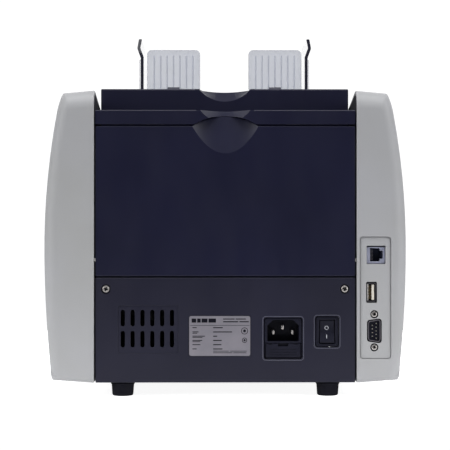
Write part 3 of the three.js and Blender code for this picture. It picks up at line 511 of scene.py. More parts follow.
# Painted light on the clear sheets' rims: a lighter painted highlight for the guides' tips, and darker painted
# reflections for the other rims.
CLEAR_TIP_HIGHLIGHT = moulded("clear_plastic_painted_tip_highlight", (0.115, 0.115, 0.125), 0.3, grain=0.004)
CLEAR_EDGE_REFLECTION = moulded("clear_plastic_painted_edge_reflection", (0.020, 0.020, 0.034), 0.3, grain=0.004)
CLEAR_RIM_REFLECTION = moulded("clear_plastic_painted_rim_reflection", (0.035, 0.036, 0.048), 0.3, grain=0.004)
LABEL_FOIL = metal("label_foil", (0.20, 0.193, 0.225), 0.45, (1, 1, 1), 0.002)
LABEL_FOIL.node_tree.nodes["Principled BSDF"].inputs["Metallic"].default_value = 0.25
PRINT = moulded("label_print", (0.004, 0.004, 0.008), 0.7, grain=0.004, specular=0.1)
PALE = moulded("lavender_plastic", (0.33, 0.345, 0.44), 0.45)
PIN_METAL = metal("pin_plating", (0.80, 0.77, 0.68), 0.3)
# Metal darkened as painted shade, for the contacts and shells inside the port openings.
SHADED_METAL = metal("port_metal_painted_shade", (0.20, 0.19, 0.22), 0.45)
# Bright metal as a painted highlight, for the near inner wall of the USB can.
BRIGHT_HIGHLIGHT = metal("steel_painted_highlight", (0.92, 0.90, 0.85), 0.45)
USB_BROWN = metal("spring_contacts", (0.105, 0.08, 0.05), 0.5)
# A painted shade for the inside of the USB can.
USB_SHADE = moulded("usb_painted_shade", (0.012, 0.010, 0.009), 0.5, grain=0.004)
# A painted shade for the inside of the network socket.
JACK_SHADE = moulded("socket_interior_painted_shade", (0.009, 0.011, 0.026), 0.5, grain=0.006, specular=0.2)
CREAM = moulded("cream_plastic", (0.72, 0.68, 0.58), 0.5, grain=0.006)
AMBER_GEAR = moulded("gear_plastic", (0.65, 0.60, 0.48), 0.4, grain=0.006)
BOARD = moulded("solder_mask", (0.012, 0.085, 0.038), 0.25, drift=0.12, grain=0.01)
GLASS = clear_sheet("display_glass", (0.010, 0.012, 0.018), 0.55, 0.06)
SCREEN_GLASS = moulded("screen_film", (0.012, 0.020, 0.032), 0.25, grain=0.002, specular=0.5)
SCREEN_FIELD = moulded("screen_field", (0.16, 0.24, 0.33), 0.35, grain=0.002)
KEY_GREY = moulded("key_plastic", (0.40, 0.405, 0.41), 0.42, drift=0.03)
LEGEND = moulded("rocker_legend", (0.42, 0.43, 0.46), 0.5, grain=0.004)

# ---- side covers --------------------------------------------------------------------------------
# The barrel of a cover: its widest height, and the radii of its upper and lower parts.
WIDEST_Z = 111.4
UPPER_R = 560.0
LOWER_R = 893.0
COVER_WALL = 2.3
COVER_EDGE = 10.0
TOP_FALL = 0.092
BOTTOM_RISE = 0.068
COVER_RINGS = 8
RIM_R = 0.8


def barrel_x(z):
    """How far out a cover reaches at a height."""
    r = UPPER_R if z > WIDEST_Z else LOWER_R
    return HALF_WIDTH - r + math.sqrt(r * r - (z - WIDEST_Z) ** 2)


def smooth(low, high, value):
    t = max(0.0, min(1.0, (value - low) / (high - low)))
    return t * t * (3 - 2 * t)


def side_corners():
    front_top = COVER_TOP - math.tan(math.radians(9.5)) * (HALF_DEPTH + 84)
    return [
        (-HALF_DEPTH, BASE_Z, 8),
        (HALF_DEPTH, BASE_Z, 3),
        (HALF_DEPTH, COVER_TOP, 14),
        (-84, front_top, 22),
        (-HALF_DEPTH, 108, 60),
    ]


def softness(outline):
    """How much each point's edge is rounded: fully at the rear and front, little at top and bottom."""
    count = len(outline)
    shares = []
    for i in range(count):
        way = (Vector(outline[(i + 1) % count]) - Vector(outline[i - 1])).normalized()
        shares.append(0.2 + 0.8 * abs(way.y) ** 2)
    return shares


def on_cover(side, y, z, inset, depth, x=None, soft=1.0):
    """A point of a cover's skin: depth is how far in from the outline's edge it lies."""
    drop = 0.0
    edge = COVER_EDGE - inset
    if depth < edge:
        drop = soft * (edge - math.sqrt(edge * edge - (edge - depth) ** 2))
    out = barrel_x(z) - inset - drop if x is None else x
    reach = out - COVER_INNER
    z += BOTTOM_RISE * reach * (1 - smooth(10, 70, z)) - TOP_FALL * reach * smooth(130, 196, z)
    if x is None:
        out = barrel_x(z) - inset - drop
    return (side * out, y, z)


def cover_skin(side, inset):
    """Rings of points from the open edge to where the rounding ends, and the cap's outline."""
    rings = []
    for k in range(COVER_RINGS + 1):
        depth = COVER_EDGE * (1 - math.cos(math.radians(90 * k / COVER_RINGS)))
        depth *= (COVER_EDGE - inset) / COVER_EDGE
        outline = filleted(side_corners(), inset + depth, straight=12)
        soft = softness(outline)
        rings.append([on_cover(side, y, z, inset, depth, None, s) for (y, z), s in zip(outline, soft)])
    return rings


def side_cover(name, side):
    """A thin barrel-sided shell, open towards the machine, its rim softly broken."""
    outer = cover_skin(side, 0.0)
    inner = cover_skin(side, COVER_WALL)
    rings = outer[::-1]
    for k in range(5):
        turn = math.radians(22.5 * k)
        lip = filleted(side_corners(), RIM_R * (1 - math.cos(turn)), straight=12)
        x = COVER_INNER + RIM_R * (1 - math.sin(turn))
        rings.append([on_cover(side, y, z, 0, 0, x) for y, z in lip])
    rim = filleted(side_corners(), COVER_WALL, straight=12)
    rings.append([on_cover(side, y, z, 0, 0, COVER_INNER) for y, z in rim])
    rings += inner
    count = len(rim)
    work = bmesh.new()
    rows = [[work.verts.new(Vector(p) * MM) for p in ring] for ring in rings]
    for a, b in zip(rows, rows[1:]):
        for i in range(count):
            j = (i + 1) % count
            work.faces.new((a[i], a[j], b[j], b[i]))
    for row, inset in ((rows[0], 0.0), (rows[-1], COVER_WALL)):
        cap = work.faces.new(row)
        for level in range(26, 222, 14):
            whole = [cap] if level == 26 else parts
            corners = {v for f in whole for v in f.verts}
            geometry = list(corners | {e for f in whole for e in f.edges}) + whole
            made = bmesh.ops.bisect_plane(
                work, geom=geometry, plane_co=(0, 0, level * MM), plane_no=(0, 0, 1), dist=1e-7
            )
            parts = [f for f in made["geom"] if isinstance(f, bmesh.types.BMFace)]
        for vert in {v for f in parts for v in f.verts}:
            vert.co.x = side * (barrel_x(vert.co.z / MM) - inset) * MM
    bmesh.ops.recalc_face_normals(work, faces=work.faces)
    return finished(name, work)


RIGHT_COVER = side_cover("right_cover_shell", 1)
piece(RIGHT_COVER, GREY, "chassis", "grey_plastic", "right_side_cover", smooth=28)
LEFT_COVER = side_cover("left_cover_shell", -1)

# Ports in the left cover: a shallow recess and the openings in it.
PORTS = (-113.0, 74.2, 23.6, 92.0)
PORTS_R = 2.5
RECESS_Y = HALF_DEPTH - 1.0
WALL_IN = HALF_DEPTH - COVER_WALL - 2.5
JACK = (-113.5, 106.5)
USB = (-110.1, 78.3)
SERIAL = (-112.2, 49.3)
SCREW_REACH = 12.45
# From well inside a connector to behind the machine.
THROUGH = (120, 140)


def d_outline(w, h, slant, r=1.2):
    """The D shape of the serial connector, round its middle, narrower towards +X."""
    a, b = w / 2, h / 2
    corners = [(-a, -b, r), (a, -b + slant, r), (a, b - slant, r), (-a, b, r)]
    return [(SERIAL[0] + x, SERIAL[1] + z) for x, z in filleted(corners, 0.0, 4)]


def screw_cuts(r, low, high):
    """Round holes for the serial connector's upper and lower screws."""
    heights = (SERIAL[1] + SCREW_REACH, SERIAL[1] - SCREW_REACH)
    return [slab("hole", "Y", circle(SERIAL[0], z, r), low, high) for z in heights]


recess = flared("recess", "Y", rounded(*PORTS, PORTS_R), RECESS_Y, HALF_DEPTH + 1, HALF_DEPTH, 0.35)
jack_hole = slab("hole", "Y", rounded(*JACK, 14.2, 13.8, 0.5), WALL_IN, HALF_DEPTH)
usb_hole = slab("hole", "Y", rounded(*USB, 8.2, 15.9, 1.0), WALL_IN, HALF_DEPTH)
serial_hole = weld(
    slab("hole", "Y", d_outline(11.2, 19.1, 1.5, 2.2), WALL_IN, HALF_DEPTH),
    *screw_cuts(3.1, WALL_IN + 0.01, HALF_DEPTH - 0.01),
)
groove = slab("groove", "Y", rounded(*PORTS, PORTS_R), RECESS_Y - 0.7, RECESS_Y + 0.3)
x, z, w, h = PORTS
hollow(groove, rounded(x, z, w - 1.1, h - 1.1, PORTS_R - 0.55), *THROUGH)
cut(LEFT_COVER, recess, groove, jack_hole, usb_hole, serial_hole)
piece(LEFT_COVER, GREY, "chassis", "grey_plastic", "left_side_cover", smooth=28)

# ---- rear panels and door -----------------------------------------------------------------------
BODY_HALF = LOWER_HIGH.x


def panel_skin(name, low_z, high_z, inner_y):
    """A flat panel right across the body, its outer edge rounded over."""
    outline = rounded(0, (low_z + high_z) / 2, 2 * BODY_HALF, high_z - low_z, 1.0)
    return slab(name, "Y", outline, inner_y, PANEL_Y, 0, 0.7)


lower = panel_skin("lower_panel_skin", LOWER_LOW.z, LOWER_HIGH.z, LOWER_LOW.y)
cuts = []
VENT_PLATE = (58.0, 50.3, 45.6, 36, 1.2)
cuts.append(flared("cut", "Y", rounded(*VENT_PLATE), PANEL_Y - 0.5, PANEL_Y + 1, PANEL_Y, 0.3))
for row in (59.0, 43.1):
    for i in range(6):
        cuts.append(flared("cut", "Y", rounded(77.2 - 7.4 * i, row, 3.2, 12.45, 1.59), LOWER_LOW.y - 1,
                           PANEL_Y, PANEL_Y - 0.5, 0.25))
INLET = (-43.5, 43.6)
SWITCH = (-76.6, 48.6)
for centre, w, h in ((INLET, 29.0, 31.2), (SWITCH, 17.8, 23.2)):
    cuts.append(flared("cut", "Y", rounded(*centre, w, h, 1.8), LOWER_LOW.y - 1, PANEL_Y + 1, PANEL_Y, 0.9))
LABEL_LOW, LABEL_HIGH = box_mm("rating_label")
label_mid = (LABEL_LOW + LABEL_HIGH) / 2
cuts.append(slab("cut", "Y", rounded(label_mid.x, label_mid.z, 46.9, 31, 1.8), PANEL_Y - 0.5, PANEL_Y + 1))
PANEL_SCREW = (89.9, 80.8)
for _, side in SIDES:
    cuts.append(flared("cut", "Y", circle(side * PANEL_SCREW[0], PANEL_SCREW[1], 3.6), PANEL_Y - 2.3,
                       PANEL_Y + 1, PANEL_Y, 0.3))
cut(lower, *cuts)
lips = []
for centre, w, h in ((INLET, 31.4, 33.6), (SWITCH, 20.2, 25.6)):
    lip = slab("lip", "Y", rounded(*centre, w, h, 2.6), PANEL_Y - 0.6, PANEL_Y + 0.25, 0, 0.2)
    lips.append(hollow(lip, rounded(*centre, w - 1.3, h - 1.3, 2.0), PANEL_Y - 2, PANEL_Y + 2))
# The lips are lighter than the panel: a painted highlight along them.
piece(gather("connector_lips", lips), LIP_SLATE_HIGHLIGHT, "chassis", "slate_plastic")
# A ledge behind the top edge, clear of the door's swing, closes the view through the gap.
LEDGE_HALF = 96
LEDGE_Y = 110.5
ledge = block("ledge", -LEDGE_HALF, LEDGE_HALF, LEDGE_Y, PANEL_Y - WALL + 0.5, 86.9, 88.4, 0.3)
stop = block("stop", -LEDGE_HALF, LEDGE_HALF, LEDGE_Y, LEDGE_Y + 1.5, 87.1, 92, 0.3)
lower = gather("rear_lower_panel_shell", [lower, ledge, stop])
piece(lower, SLATE, "chassis", "slate_plastic", "rear_lower_panel")

# The dish and its tab: two arcs that meet at the ends of a chord.
DISH_HALF = 24.9
DISH_CHORD = 203.2
DISH_TOP = 211.0
DISH_BOTTOM = 182.9
DISH_DEEP = 9.2  # at the top of the tab
DOOR_TOP = 203.4
DOOR_INNER = PANEL_Y - WALL
# The door's inner parts end this far inside its skin, and start at this Y.
ROOT_Y = DOOR_INNER + 0.2
RIB_Y = 121.5
RIBS = (-84, -42, 0, 42, 84)
RETURN_X = 96.6
KNUCKLES = (-70, 0, 70)
KNUCKLE_R = 3.0
PIN_BORE = 1.6
PINCH_ARMS = (-60, 60)
PINCH_BORE = 1.65


def dish_outline(grow=0.0, steps=18):
    """The tab's arc above and the dish's parabola below, which meet at the tips."""
    rise = DISH_TOP - DISH_CHORD
    high_r = (DISH_HALF**2 + rise**2) / (2 * rise)
    high = math.degrees(math.asin(DISH_HALF / high_r))
    points = arc(0, DISH_TOP - high_r, high_r, 90 - high, 90 + high, steps)
    for k in range(1, 2 * steps):
        t = -1 + k / steps
        points.append((DISH_HALF * t, DISH_BOTTOM + (DISH_CHORD - DISH_BOTTOM) * t * t))
    return grown(points, grow) if grow else points


def dish_cutter():
    """The hollow of the dish: a round trough that runs deeper towards the top of the door."""
    slope = DISH_DEEP / (DISH_TOP - DISH_BOTTOM)
    chord_deep = slope * (DISH_CHORD - DISH_BOTTOM)
    r = (DISH_HALF**2 + chord_deep**2) / (2 * chord_deep)
    rings = []
    for z in (DISH_BOTTOM - 6, DISH_TOP + 6):
        lowest = PANEL_Y - slope * (z - DISH_BOTTOM)
        outline = [(a, lowest + b + r) for a, b in arc(0, 0, r, 205, 335, 40)]
        outline += [(DISH_HALF * 3, PANEL_Y + 30), (-DISH_HALF * 3, PANEL_Y + 30)]
        rings.append((z, outline))
    return loft("dish", "Z", rings)


door = panel_skin("door_skin", DOOR_LOW.z, DOOR_TOP, DOOR_INNER)
grip = slab("grip", "Y", dish_outline(), PANEL_Y - DISH_DEEP - 1.6, PANEL_Y, 0, 0.15)
weld(door, grip)
cut(door, dish_cutter())
inner_parts = [door]
HINGE = joint_pos("rear_door_hinge")
for x in RIBS:
    rib = block("rib", x - 1.2, x + 1.2, RIB_Y, ROOT_Y, 98.4, 178, 0.4)
    inner_parts.append(bored(rib, HINGE.y, HINGE.z, PIN_BORE))
for x in (-RETURN_X, RETURN_X):
    inner_parts.append(block("return", x - 0.8, x + 0.8, RIB_Y, ROOT_Y, 107, 199, 0.3))
for x in KNUCKLES:
    knuckle = prism("knuckle", "X", circle(HINGE.y, HINGE.z, KNUCKLE_R, 24), x - 8, x + 8)
    lug = block("lug", x - 7.6, x + 7.6, HINGE.y, ROOT_Y, HINGE.z - 2, HINGE.z + 2, 0.3)
    inner_parts += [bored(part, HINGE.y, HINGE.z, PIN_BORE) for part in (knuckle, lug)]
PINCH = joint_pos("door_pinch_spin")
for x in PINCH_ARMS:
    arm = block("arm", x - 2, x + 2, PINCH.y - 4, ROOT_Y, PINCH.z - 5, PINCH.z + 5, 0.8)
    inner_parts.append(bored(arm, PINCH.y, PINCH.z, PINCH_BORE))
door = gather("rear_door_shell", inner_parts)
piece(door, NAVY, "rear_door", "navy_plastic", "rear_door", smooth=14)

# The strip above the door, with the scoop the tab stands in.
section = [(STRIP_LOW.y, 213.1), (DOOR_INNER, 213.1), (DOOR_INNER, STRIP_LOW.z), (PANEL_Y, STRIP_LOW.z)]
section += arc(PANEL_Y - 1.0, STRIP_HIGH.z - 1.0, 1.0, 0, 90, 5) + [(STRIP_LOW.y, STRIP_HIGH.z)]
strip = slab("top_strip_skin", "X", section, -BODY_HALF, BODY_HALF)
SCOOP_MID = STRIP_HIGH.z + 13.3
bowl = slab("bowl", "Y", circle(0, SCOOP_MID, 25.7, 72), 110.5, PANEL_Y - 0.1)
trim = block("trim", -30, 30, 100, 140, STRIP_LOW.z, STRIP_HIGH.z - 0.05)
combine(bowl, [trim], "INTERSECT")
weld(strip, bowl)
scoop_rings = ((112, 13.2), (PANEL_Y, 23.2), (PANEL_Y + 1, 23.8))
scoop = loft("scoop", "Y", [(y, circle(0, SCOOP_MID, r, 72)) for y, r in scoop_rings])
relief = slab("relief", "Y", dish_outline(0.45), 117.6, PANEL_Y + 1)
cut(strip, scoop, relief)
piece(strip, STRIP_NAVY, "chassis", "navy_plastic", "rear_top_strip", smooth=24)

# ---- upper unit, hopper plates and guides -------------------------------------------------------
UNIT_HALF = UNIT_HIGH.x
UNIT_REAR = UNIT_HIGH.y
UNIT_TOP = 235.7
GATE_Y = 38.0
FLOOR = ((UNIT_LOW.y, 207.0), (GATE_Y, 198.0))


def floor_z(y):
    (front, high), (rear, low) = FLOOR
    return high + (y - front) / (rear - front) * (low - high)


LIP = floor_z(UNIT_LOW.y)
shell_top = [
    (GATE_Y, UNIT_TOP - 2.5),
    (UNIT_REAR - 2.5, UNIT_TOP - 2.5),
    (UNIT_REAR - 2.5, UNIT_LOW.z + 6),
    (UNIT_REAR, UNIT_LOW.z + 6),
]
shell_top += arc(UNIT_REAR - 1.3, UNIT_TOP - 1.3, 1.3, 0, 90, 5)
shell_top += [(GATE_Y + 1, UNIT_TOP), (GATE_Y, UNIT_TOP - 1)]
unit = slab("unit_shell", "X", shell_top, -UNIT_HALF, UNIT_HALF, 0.8, 0.8)
cheek = [
    (UNIT_LOW.y, LIP - 5),
    (UNIT_LOW.y + 8, UNIT_LOW.z + 4),
    (UNIT_REAR, UNIT_LOW.z + 4),
    (UNIT_REAR, UNIT_TOP - 1.3),
    (UNIT_REAR - 1.3, UNIT_TOP),
    (GATE_Y + 4, UNIT_TOP),
    (UNIT_LOW.y + 10, LIP + 9),
    (UNIT_LOW.y, LIP),
]
for _, side in SIDES:
    # A hair inside the shell's end, so that the two don't lie in one plane.
    ends = sorted((side * (UNIT_HALF - 0.01), side * (UNIT_HALF - 2.5)))
    weld(unit, slab("cheek", "X", cheek, *ends, 0.7, 0.7))
# The sides stand clear of the pick-up shaft and turn on the hinge pin.
UNIT_PIN = joint_pos("upper_unit_hinge")
UNIT_BORE = 2.1
bored(unit, UNIT_PIN.y, UNIT_PIN.z, UNIT_BORE)
NOTCH_Y = (0, 8)
NOTCH_Z = (185, 193)
cut(unit, block("notch", -UNIT_HALF - 1, UNIT_HALF + 1, *NOTCH_Y, *NOTCH_Z))
SCOOP_Z = UNIT_TOP + 15.9
cup = slab("cup", "Y", circle(0, SCOOP_Z, 28.3, 64), 63, UNIT_REAR - 0.1)
trim = block("trim", -34, 34, 50, 90, 217, UNIT_TOP - 0.05)
combine(cup, [trim], "INTERSECT")
gate = block("gate", -UNIT_HALF + 1, UNIT_HALF - 1, GATE_Y, GATE_Y + 2.5, 204, UNIT_TOP - 0.3)
weld(unit, cup, gate)


def sag_outline(half, sag, steps=24):
    """An arc below the deck's edge, closed well above it."""
    r = (half**2 + sag**2) / (2 * sag)
    reach = math.degrees(math.asin(half / r))
    points = arc(0, UNIT_TOP - sag + r, r, 270 - reach, 270 + reach, steps)
    return points + [(half, UNIT_TOP + 20), (-half, UNIT_TOP + 20)]


sags = ((36, 19.2, 1.7), (67, 19.2, 1.7), (UNIT_REAR, 20.3, 9.9), (UNIT_REAR + 1, 20.4, 10.4))
scoop = loft("scoop", "Y", [(y, sag_outline(half, sag)) for y, half, sag in sags])
slot = block("slot", -92, 92, GATE_Y - 1, GATE_Y + 3.5, 219, 227)
cut(unit, scoop, slot)
floor_end = GATE_Y - 3
floor_side = [(UNIT_LOW.y, LIP - 2.5), (floor_end, floor_z(floor_end) - 2.5), (floor_end, floor_z(floor_end)),
              (UNIT_LOW.y + 1, LIP), (UNIT_LOW.y, LIP - 1)]
floor = slab("floor", "X", floor_side, -UNIT_HALF + 1, UNIT_HALF - 1)
windows = []
# Two windows for the pick-up rollers, and dust slots on each side of them.
WINDOW_Z = (190, 215)
for x in (-20, 20):
    windows.append(slab("window", "Z", rounded(x, 4, 15, 26, 2), *WINDOW_Z))
for x in range(-78, 79, 12):
    if abs(x) > 32:
        windows.append(slab("window", "Z", rounded(x, -6, 3, 60, 1.45), *WINDOW_Z))
cut(floor, *windows)
unit_parts = [unit, floor]
LUG_Y = (-54, -46)
LUG_Z = (188, 203)
for x in (-80, 80):
    lug = block("lug", x - 6, x + 6, *LUG_Y, *LUG_Z, 0.8)
    unit_parts.append(bored(lug, UNIT_PIN.y, UNIT_PIN.z, UNIT_BORE))
PLATE_X = 41.0
CLIP_SIDE = [(39.4, 235), (46, 235), (46, 238.6), (44.6, 240.3), (40.2, 240.3), (39.4, 239.5)]
for _, side in SIDES:
    x = side * PLATE_X
    clip = slab("clip", "X", CLIP_SIDE, x - 4.75, x + 4.75, 0.4, 0.4)
    cut(clip, block("cut", x - 6, x + 6, 40.9, 44, UNIT_TOP, 242))
    unit_parts.append(clip)
unit = gather("upper_unit_shell", unit_parts)
piece(unit, STRIP_NAVY, "upper_unit", "black_plastic", "upper_unit", smooth=28)

for name, side in SIDES:
    low, high = box_mm(f"{name}_hopper_plate")
    mid = (low + high) / 2
    w, h = high.x - low.x, high.z - low.z
    plate = slab(f"{name}_plate_sheet", "Y", rounded(mid.x, mid.z, w, h, 4, 7), low.y, low.y + 2, 0.45, 0.45)
    # Seven moulded ribs on its rear.
    ribs = []
    for i in range(7):
        x = mid.x + (i - 3) * 5.2
        profile = [(x - 0.5, low.y + 1.95), (x + 0.5, low.y + 1.95), (x + 0.1, high.y), (x - 0.1, high.y)]
        ribs.append(prism("rib", "Z", profile, 238, high.z - 4.6))
    plate = gather(f"{name}_plate", [plate] + ribs)
    piece(plate, CLEAR, "upper_unit", "clear_plastic", f"{name}_hopper_plate", smooth=40)
    # The plate's rims near its outline get a painted dark reflection; the ribs and faces well inside stay clear.
    paint_rim_reflections(plate, 1, CLEAR_RIM_REFLECTION)
    for face in plate.data.polygons:
        middle = face.center / MM
        if abs(middle.x - mid.x) < w / 2 - 4.2 and middle.z < high.z - 4.2:
            face.material_index = 0

FLARE_Z = 264.5
JOG_Z = 272.4
# The racks run above and below the pinion, which has 11 teeth on a pitch radius of 5.
PINION_Z = 223
PITCH = 2 * math.pi * 5 / 11
RACK_Y = (46, 52)
RACK_T = 2.8
RACK_OFF = 7.6
for name, side in SIDES:
    low, high = box_mm(f"{name}_side_guide")
    outer = max(abs(low.x), abs(high.x)) - 2.7
    inner = outer - 2.5
    top = high.z
    rear_y = 37.6
    blade_outline = [
        (inner, 209), (outer, 209), (outer, FLARE_Z), (outer + 0.25, FLARE_Z + 1),
        (outer + 2.5, JOG_Z - 0.8), (outer + 2.7, JOG_Z + 0.4), (outer + 1.5, top - 0.5),
        (outer + 1.0, top), (inner + 1.8, top), (inner + 1.4, top - 0.5), (inner + 2.7, JOG_Z + 0.5),
        (inner + 2.4, JOG_Z - 0.6), (inner + 0.25, FLARE_Z + 1.6), (inner, FLARE_Z + 0.7),
    ]
    front_y = rear_y - 74
    blade = slab("blade", "Y", [(side * a, b) for a, b in blade_outline], front_y, rear_y, 0.1, 0.08)
    side_view = [(front_y, 212), (front_y + 3, 209.4), (rear_y, 209), (rear_y, top)]
    side_view += arc(front_y + 10, top - 10, 10, 90, 180, 8)
    trim = slab("trim", "X", side_view, -99, 99)
    combine(blade, [trim], "INTERSECT")
    # A moulded rail down the outer face.
    xs = sorted((side * outer, side * (outer + 1.35)))
    rail = block("rail", *xs, rear_y - 6, rear_y - 1.2, 212, FLARE_Z - 1, 0.3)
    rack_low = PINION_Z + side * RACK_OFF - RACK_T / 2
    xs = sorted((side * inner, side * outer))
    foot = block("foot", *xs, 31.6, RACK_Y[1], PINION_Z - 3, PINION_Z + 3, 0.3)
    span = (min(rack_low, PINION_Z), max(rack_low + RACK_T, PINION_Z))
    riser = block("riser", *xs, *RACK_Y, *span, 0.2)
    ends = sorted((side * -26, side * outer))
    rack = block("bar", *ends, *RACK_Y, rack_low, rack_low + RACK_T, 0.2)
    teeth = []
    at = -25.0
    while at < 18:
        tooth = [(at - 0.75, 6.4), (at - 0.35, 4.9), (at + 0.35, 4.9), (at + 0.75, 6.4)]
        teeth.append(prism("tooth", "Y", [(side * a, PINION_Z + side * b) for a, b in tooth], *RACK_Y))
        at += PITCH
    rail = piece(rail, CLEAR_PALE, f"{name}_guide", "clear_plastic", smooth=30)
    rail.name = f"{name}_guide_rail"
    guide = gather(f"{name}_guide", [blade, foot, riser, rack] + teeth)
    piece(guide, CLEAR_GUIDE, f"{name}_guide", "clear_plastic", f"{name}_side_guide", smooth=30)
    # The guide's rear rims get a painted dark reflection, with a painted highlight on those above the jog.
    paint_rim_reflections(guide, 0, CLEAR_EDGE_REFLECTION, JOG_Z, rear_y - 0.5)

# ---- front panel, display and keys --------------------------------------------------------------
# The sloped face from its lower to its upper edge, Y and Z, and the lip over the hopper floor.
FACE_LOW = (-128.4, 118.0)
FACE_HIGH = (-88.0, 195.5)
SCREEN_MID = 2.0
SCREEN = (92.0, 54.0)
KEY_SIZE = (15.0, 9.0)


def tilted(obj):
    """Turns a piece modelled flat, facing +Z, onto the sloped face of the front panel."""
    (y0, z0), (y1, z1) = FACE_LOW, FACE_HIGH
    across = Vector((1, 0, 0))
    up = Vector((0, y1 - y0, z1 - z0)).normalized()
    turn = Matrix((across, up, across.cross(up))).transposed().to_4x4()
    turn.translation = Vector((0, (y0 + y1) / 2, (z0 + z1) / 2)) * MM
    obj.data.transform(turn)
    return obj


def symbol(name, outlines, level):
    """Thin raised shapes on a face at the given level."""
    return gather(name, [prism("mark", "Z", o, level - 0.1, level + 0.03) for o in outlines])


def bar(x, y, w, h):
    a, b = w / 2, h / 2
    return [(x - a, y - b), (x + a, y - b), (x + a, y + b), (x - a, y + b)]


KEYS = {
    "key_menu": (-76, 20, [bar(0, 1.8, 5, 0.7), bar(0, 0, 5, 0.7), bar(0, -1.8, 5, 0.7)]),
    "key_mode": (-76, 0, [bar(-1.6, 0, 2.2, 3.4), bar(1.6, 0, 2.2, 3.4)]),
    "key_report": (-76, -20, [bar(-2, -0.9, 1.1, 1.6), bar(0, -0.3, 1.1, 2.8), bar(2, 0.3, 1.1, 4)]),
    "key_up": (76, 20, [[(-2.4, -1.6), (2.4, -1.6), (0, 1.9)]]),
    "key_down": (76, 0, [[(-2.4, 1.6), (0, -1.9), (2.4, 1.6)]]),
    "key_start": (76, -20, [[(-1.7, -2.2), (2.2, 0), (-1.7, 2.2)]]),
}
lip_y, lip_z = UNIT_LOW.y - 10, 211.0
# The face is divided between the keys' rows and columns, so that each cut has a face of its own.
COLUMN_X = 61
ROW_SHARES = (0.615, 0.385)
profile = [FACE_LOW, (-42, 122), (-42, 124.5), (-124.9, 120.5), (-85.5, 193), (lip_y, lip_z - WALL),
           (lip_y, lip_z), FACE_HIGH]
for share in ROW_SHARES:
    profile.append(tuple(low + (high - low) * share for low, high in zip(FACE_LOW, FACE_HIGH)))
columns = (-BODY_HALF, -COLUMN_X, COLUMN_X, BODY_HALF)
front = bevel(loft("front_panel_skin", "X", [(x, profile) for x in columns]), 1.0, 3, 12)
FIT = 0.8
hole = rounded(0, SCREEN_MID, SCREEN[0] + FIT, SCREEN[1] + FIT, 1.8)
holes = [flared("cut", "Z", hole, -8, 3, 0, 0.6)]
for x, y, _ in KEYS.values():
    hole = rounded(x, y, KEY_SIZE[0] + FIT, KEY_SIZE[1] + FIT, 2.3)
    holes.append(flared("cut", "Z", hole, -8, 3, 0, 0.4))
cut(front, *[tilted(hole) for hole in holes])
piece(front, NAVY, "chassis", "navy_plastic", "front_panel", smooth=30)
pane = tilted(slab("display_pane", "Z", rounded(0, SCREEN_MID, *SCREEN, 1.5), -1.8, 0.2, 0, 0.35))
piece(pane, GLASS, "chassis", "display_glass", "display_window", smooth=30)
module = tilted(slab("display_board", "Z", rounded(0, SCREEN_MID, 88, 50, 1), -7.1, -2.9, 0.2, 0.2))
piece(module, BOARD, "chassis", "circuit_board", "display_module")
screen = tilted(slab("display_screen", "Z", rounded(0, SCREEN_MID, 84, 46, 0.6), -2.9, -2.2, 0, 0.1))
piece(screen, SCREEN_GLASS, "chassis", "black_plastic")
rows = [bar(-19, SCREEN_MID + 12, 34, 9), bar(21, SCREEN_MID + 12, 26, 9), bar(0, SCREEN_MID - 2, 70, 8)]
rows += [bar(-26 + 13 * i, SCREEN_MID - 15, 8, 6) for i in range(5)]
piece(tilted(symbol("display_fields", rows, -2.15)), SCREEN_FIELD, "chassis", "lavender_plastic")
for name, (x, y, shapes) in KEYS.items():
    cap = tilted(slab(f"{name}_cap", "Z", rounded(x, y, *KEY_SIZE, 2.0), -6, 1.6, 0.2, 0.8, 4))
    piece(cap, KEY_GREY, name, "grey_plastic", name, smooth=32)
    moved = [[(x + a, y + b) for a, b in shape] for shape in shapes]
    piece(tilted(symbol(f"{name}_symbol", moved, 1.6)), PRINT, name, "black_plastic")

# ---- screws, feet -------------------------------------------------------------------------------


def cross_screw(name, x, z, face, head_r, head_t, shank_r, length):
    """A pan-head screw driven along -Y, with a cross recess."""
    under = face - head_t
    profile = [(0, face - length), (shank_r, face - length), (shank_r, under), (head_r, under)]
    for k in range(5):
        turn = math.radians(90 * k / 4)
        profile.append((head_r - 0.75 + 0.75 * math.cos(turn), face - 0.75 + 0.75 * math.sin(turn)))
    profile.append((0, face))
    screw = lathe(name, "Y", (x, z), profile, 40)
    arms = []
    for angle in (20, 110):
        turn = math.radians(angle)
        u, v = (math.cos(turn), math.sin(turn)), (-math.sin(turn), math.cos(turn))
        long, wide = head_r * 0.56, head_r * 0.17
        outline = [(x + u[0] * a + v[0] * b, z + u[1] * a + v[1] * b)
                   for a, b in ((-long, -wide), (long, -wide), (long, wide), (-long, wide))]
        arms.append(loft("arm", "Y", [(face - 1.2, outline), (face + 1, grown(outline, 0.12))]))
    pit = [(0, face - 1.5), (head_r * 0.2, face - 0.8), (head_r * 0.32, face + 0.5), (0, face + 0.5)]
    return cut(screw, weld(*arms), lathe("pit", "Y", (x, z), pit, 16))


def shade_recess(screw, x, z, r, level):
    """The driving recess of a screw gets a painted shade."""
    screw.data.materials.append(RECESS_DARK)
    for face in screw.data.polygons:
        middle = face.center / MM
        wall = abs(face.normal.y) < 0.9
        if math.hypot(middle.x - x, middle.z - z) < r and middle.y < level + (0.3 if wall else 0):
            face.material_index = 1


for name, side in SIDES:
    x, z = side * PANEL_SCREW[0], PANEL_SCREW[1]
    screw = cross_screw(f"{name}_panel_screw_head", x, z, PANEL_Y - 0.2, 2.6, 1.0, 1.5, 9)
    piece(screw, SCREW_STEEL, "chassis", "steel", f"{name}_panel_screw", smooth=35)
    shade_recess(screw, x, z, 1.9, PANEL_Y - 0.55)

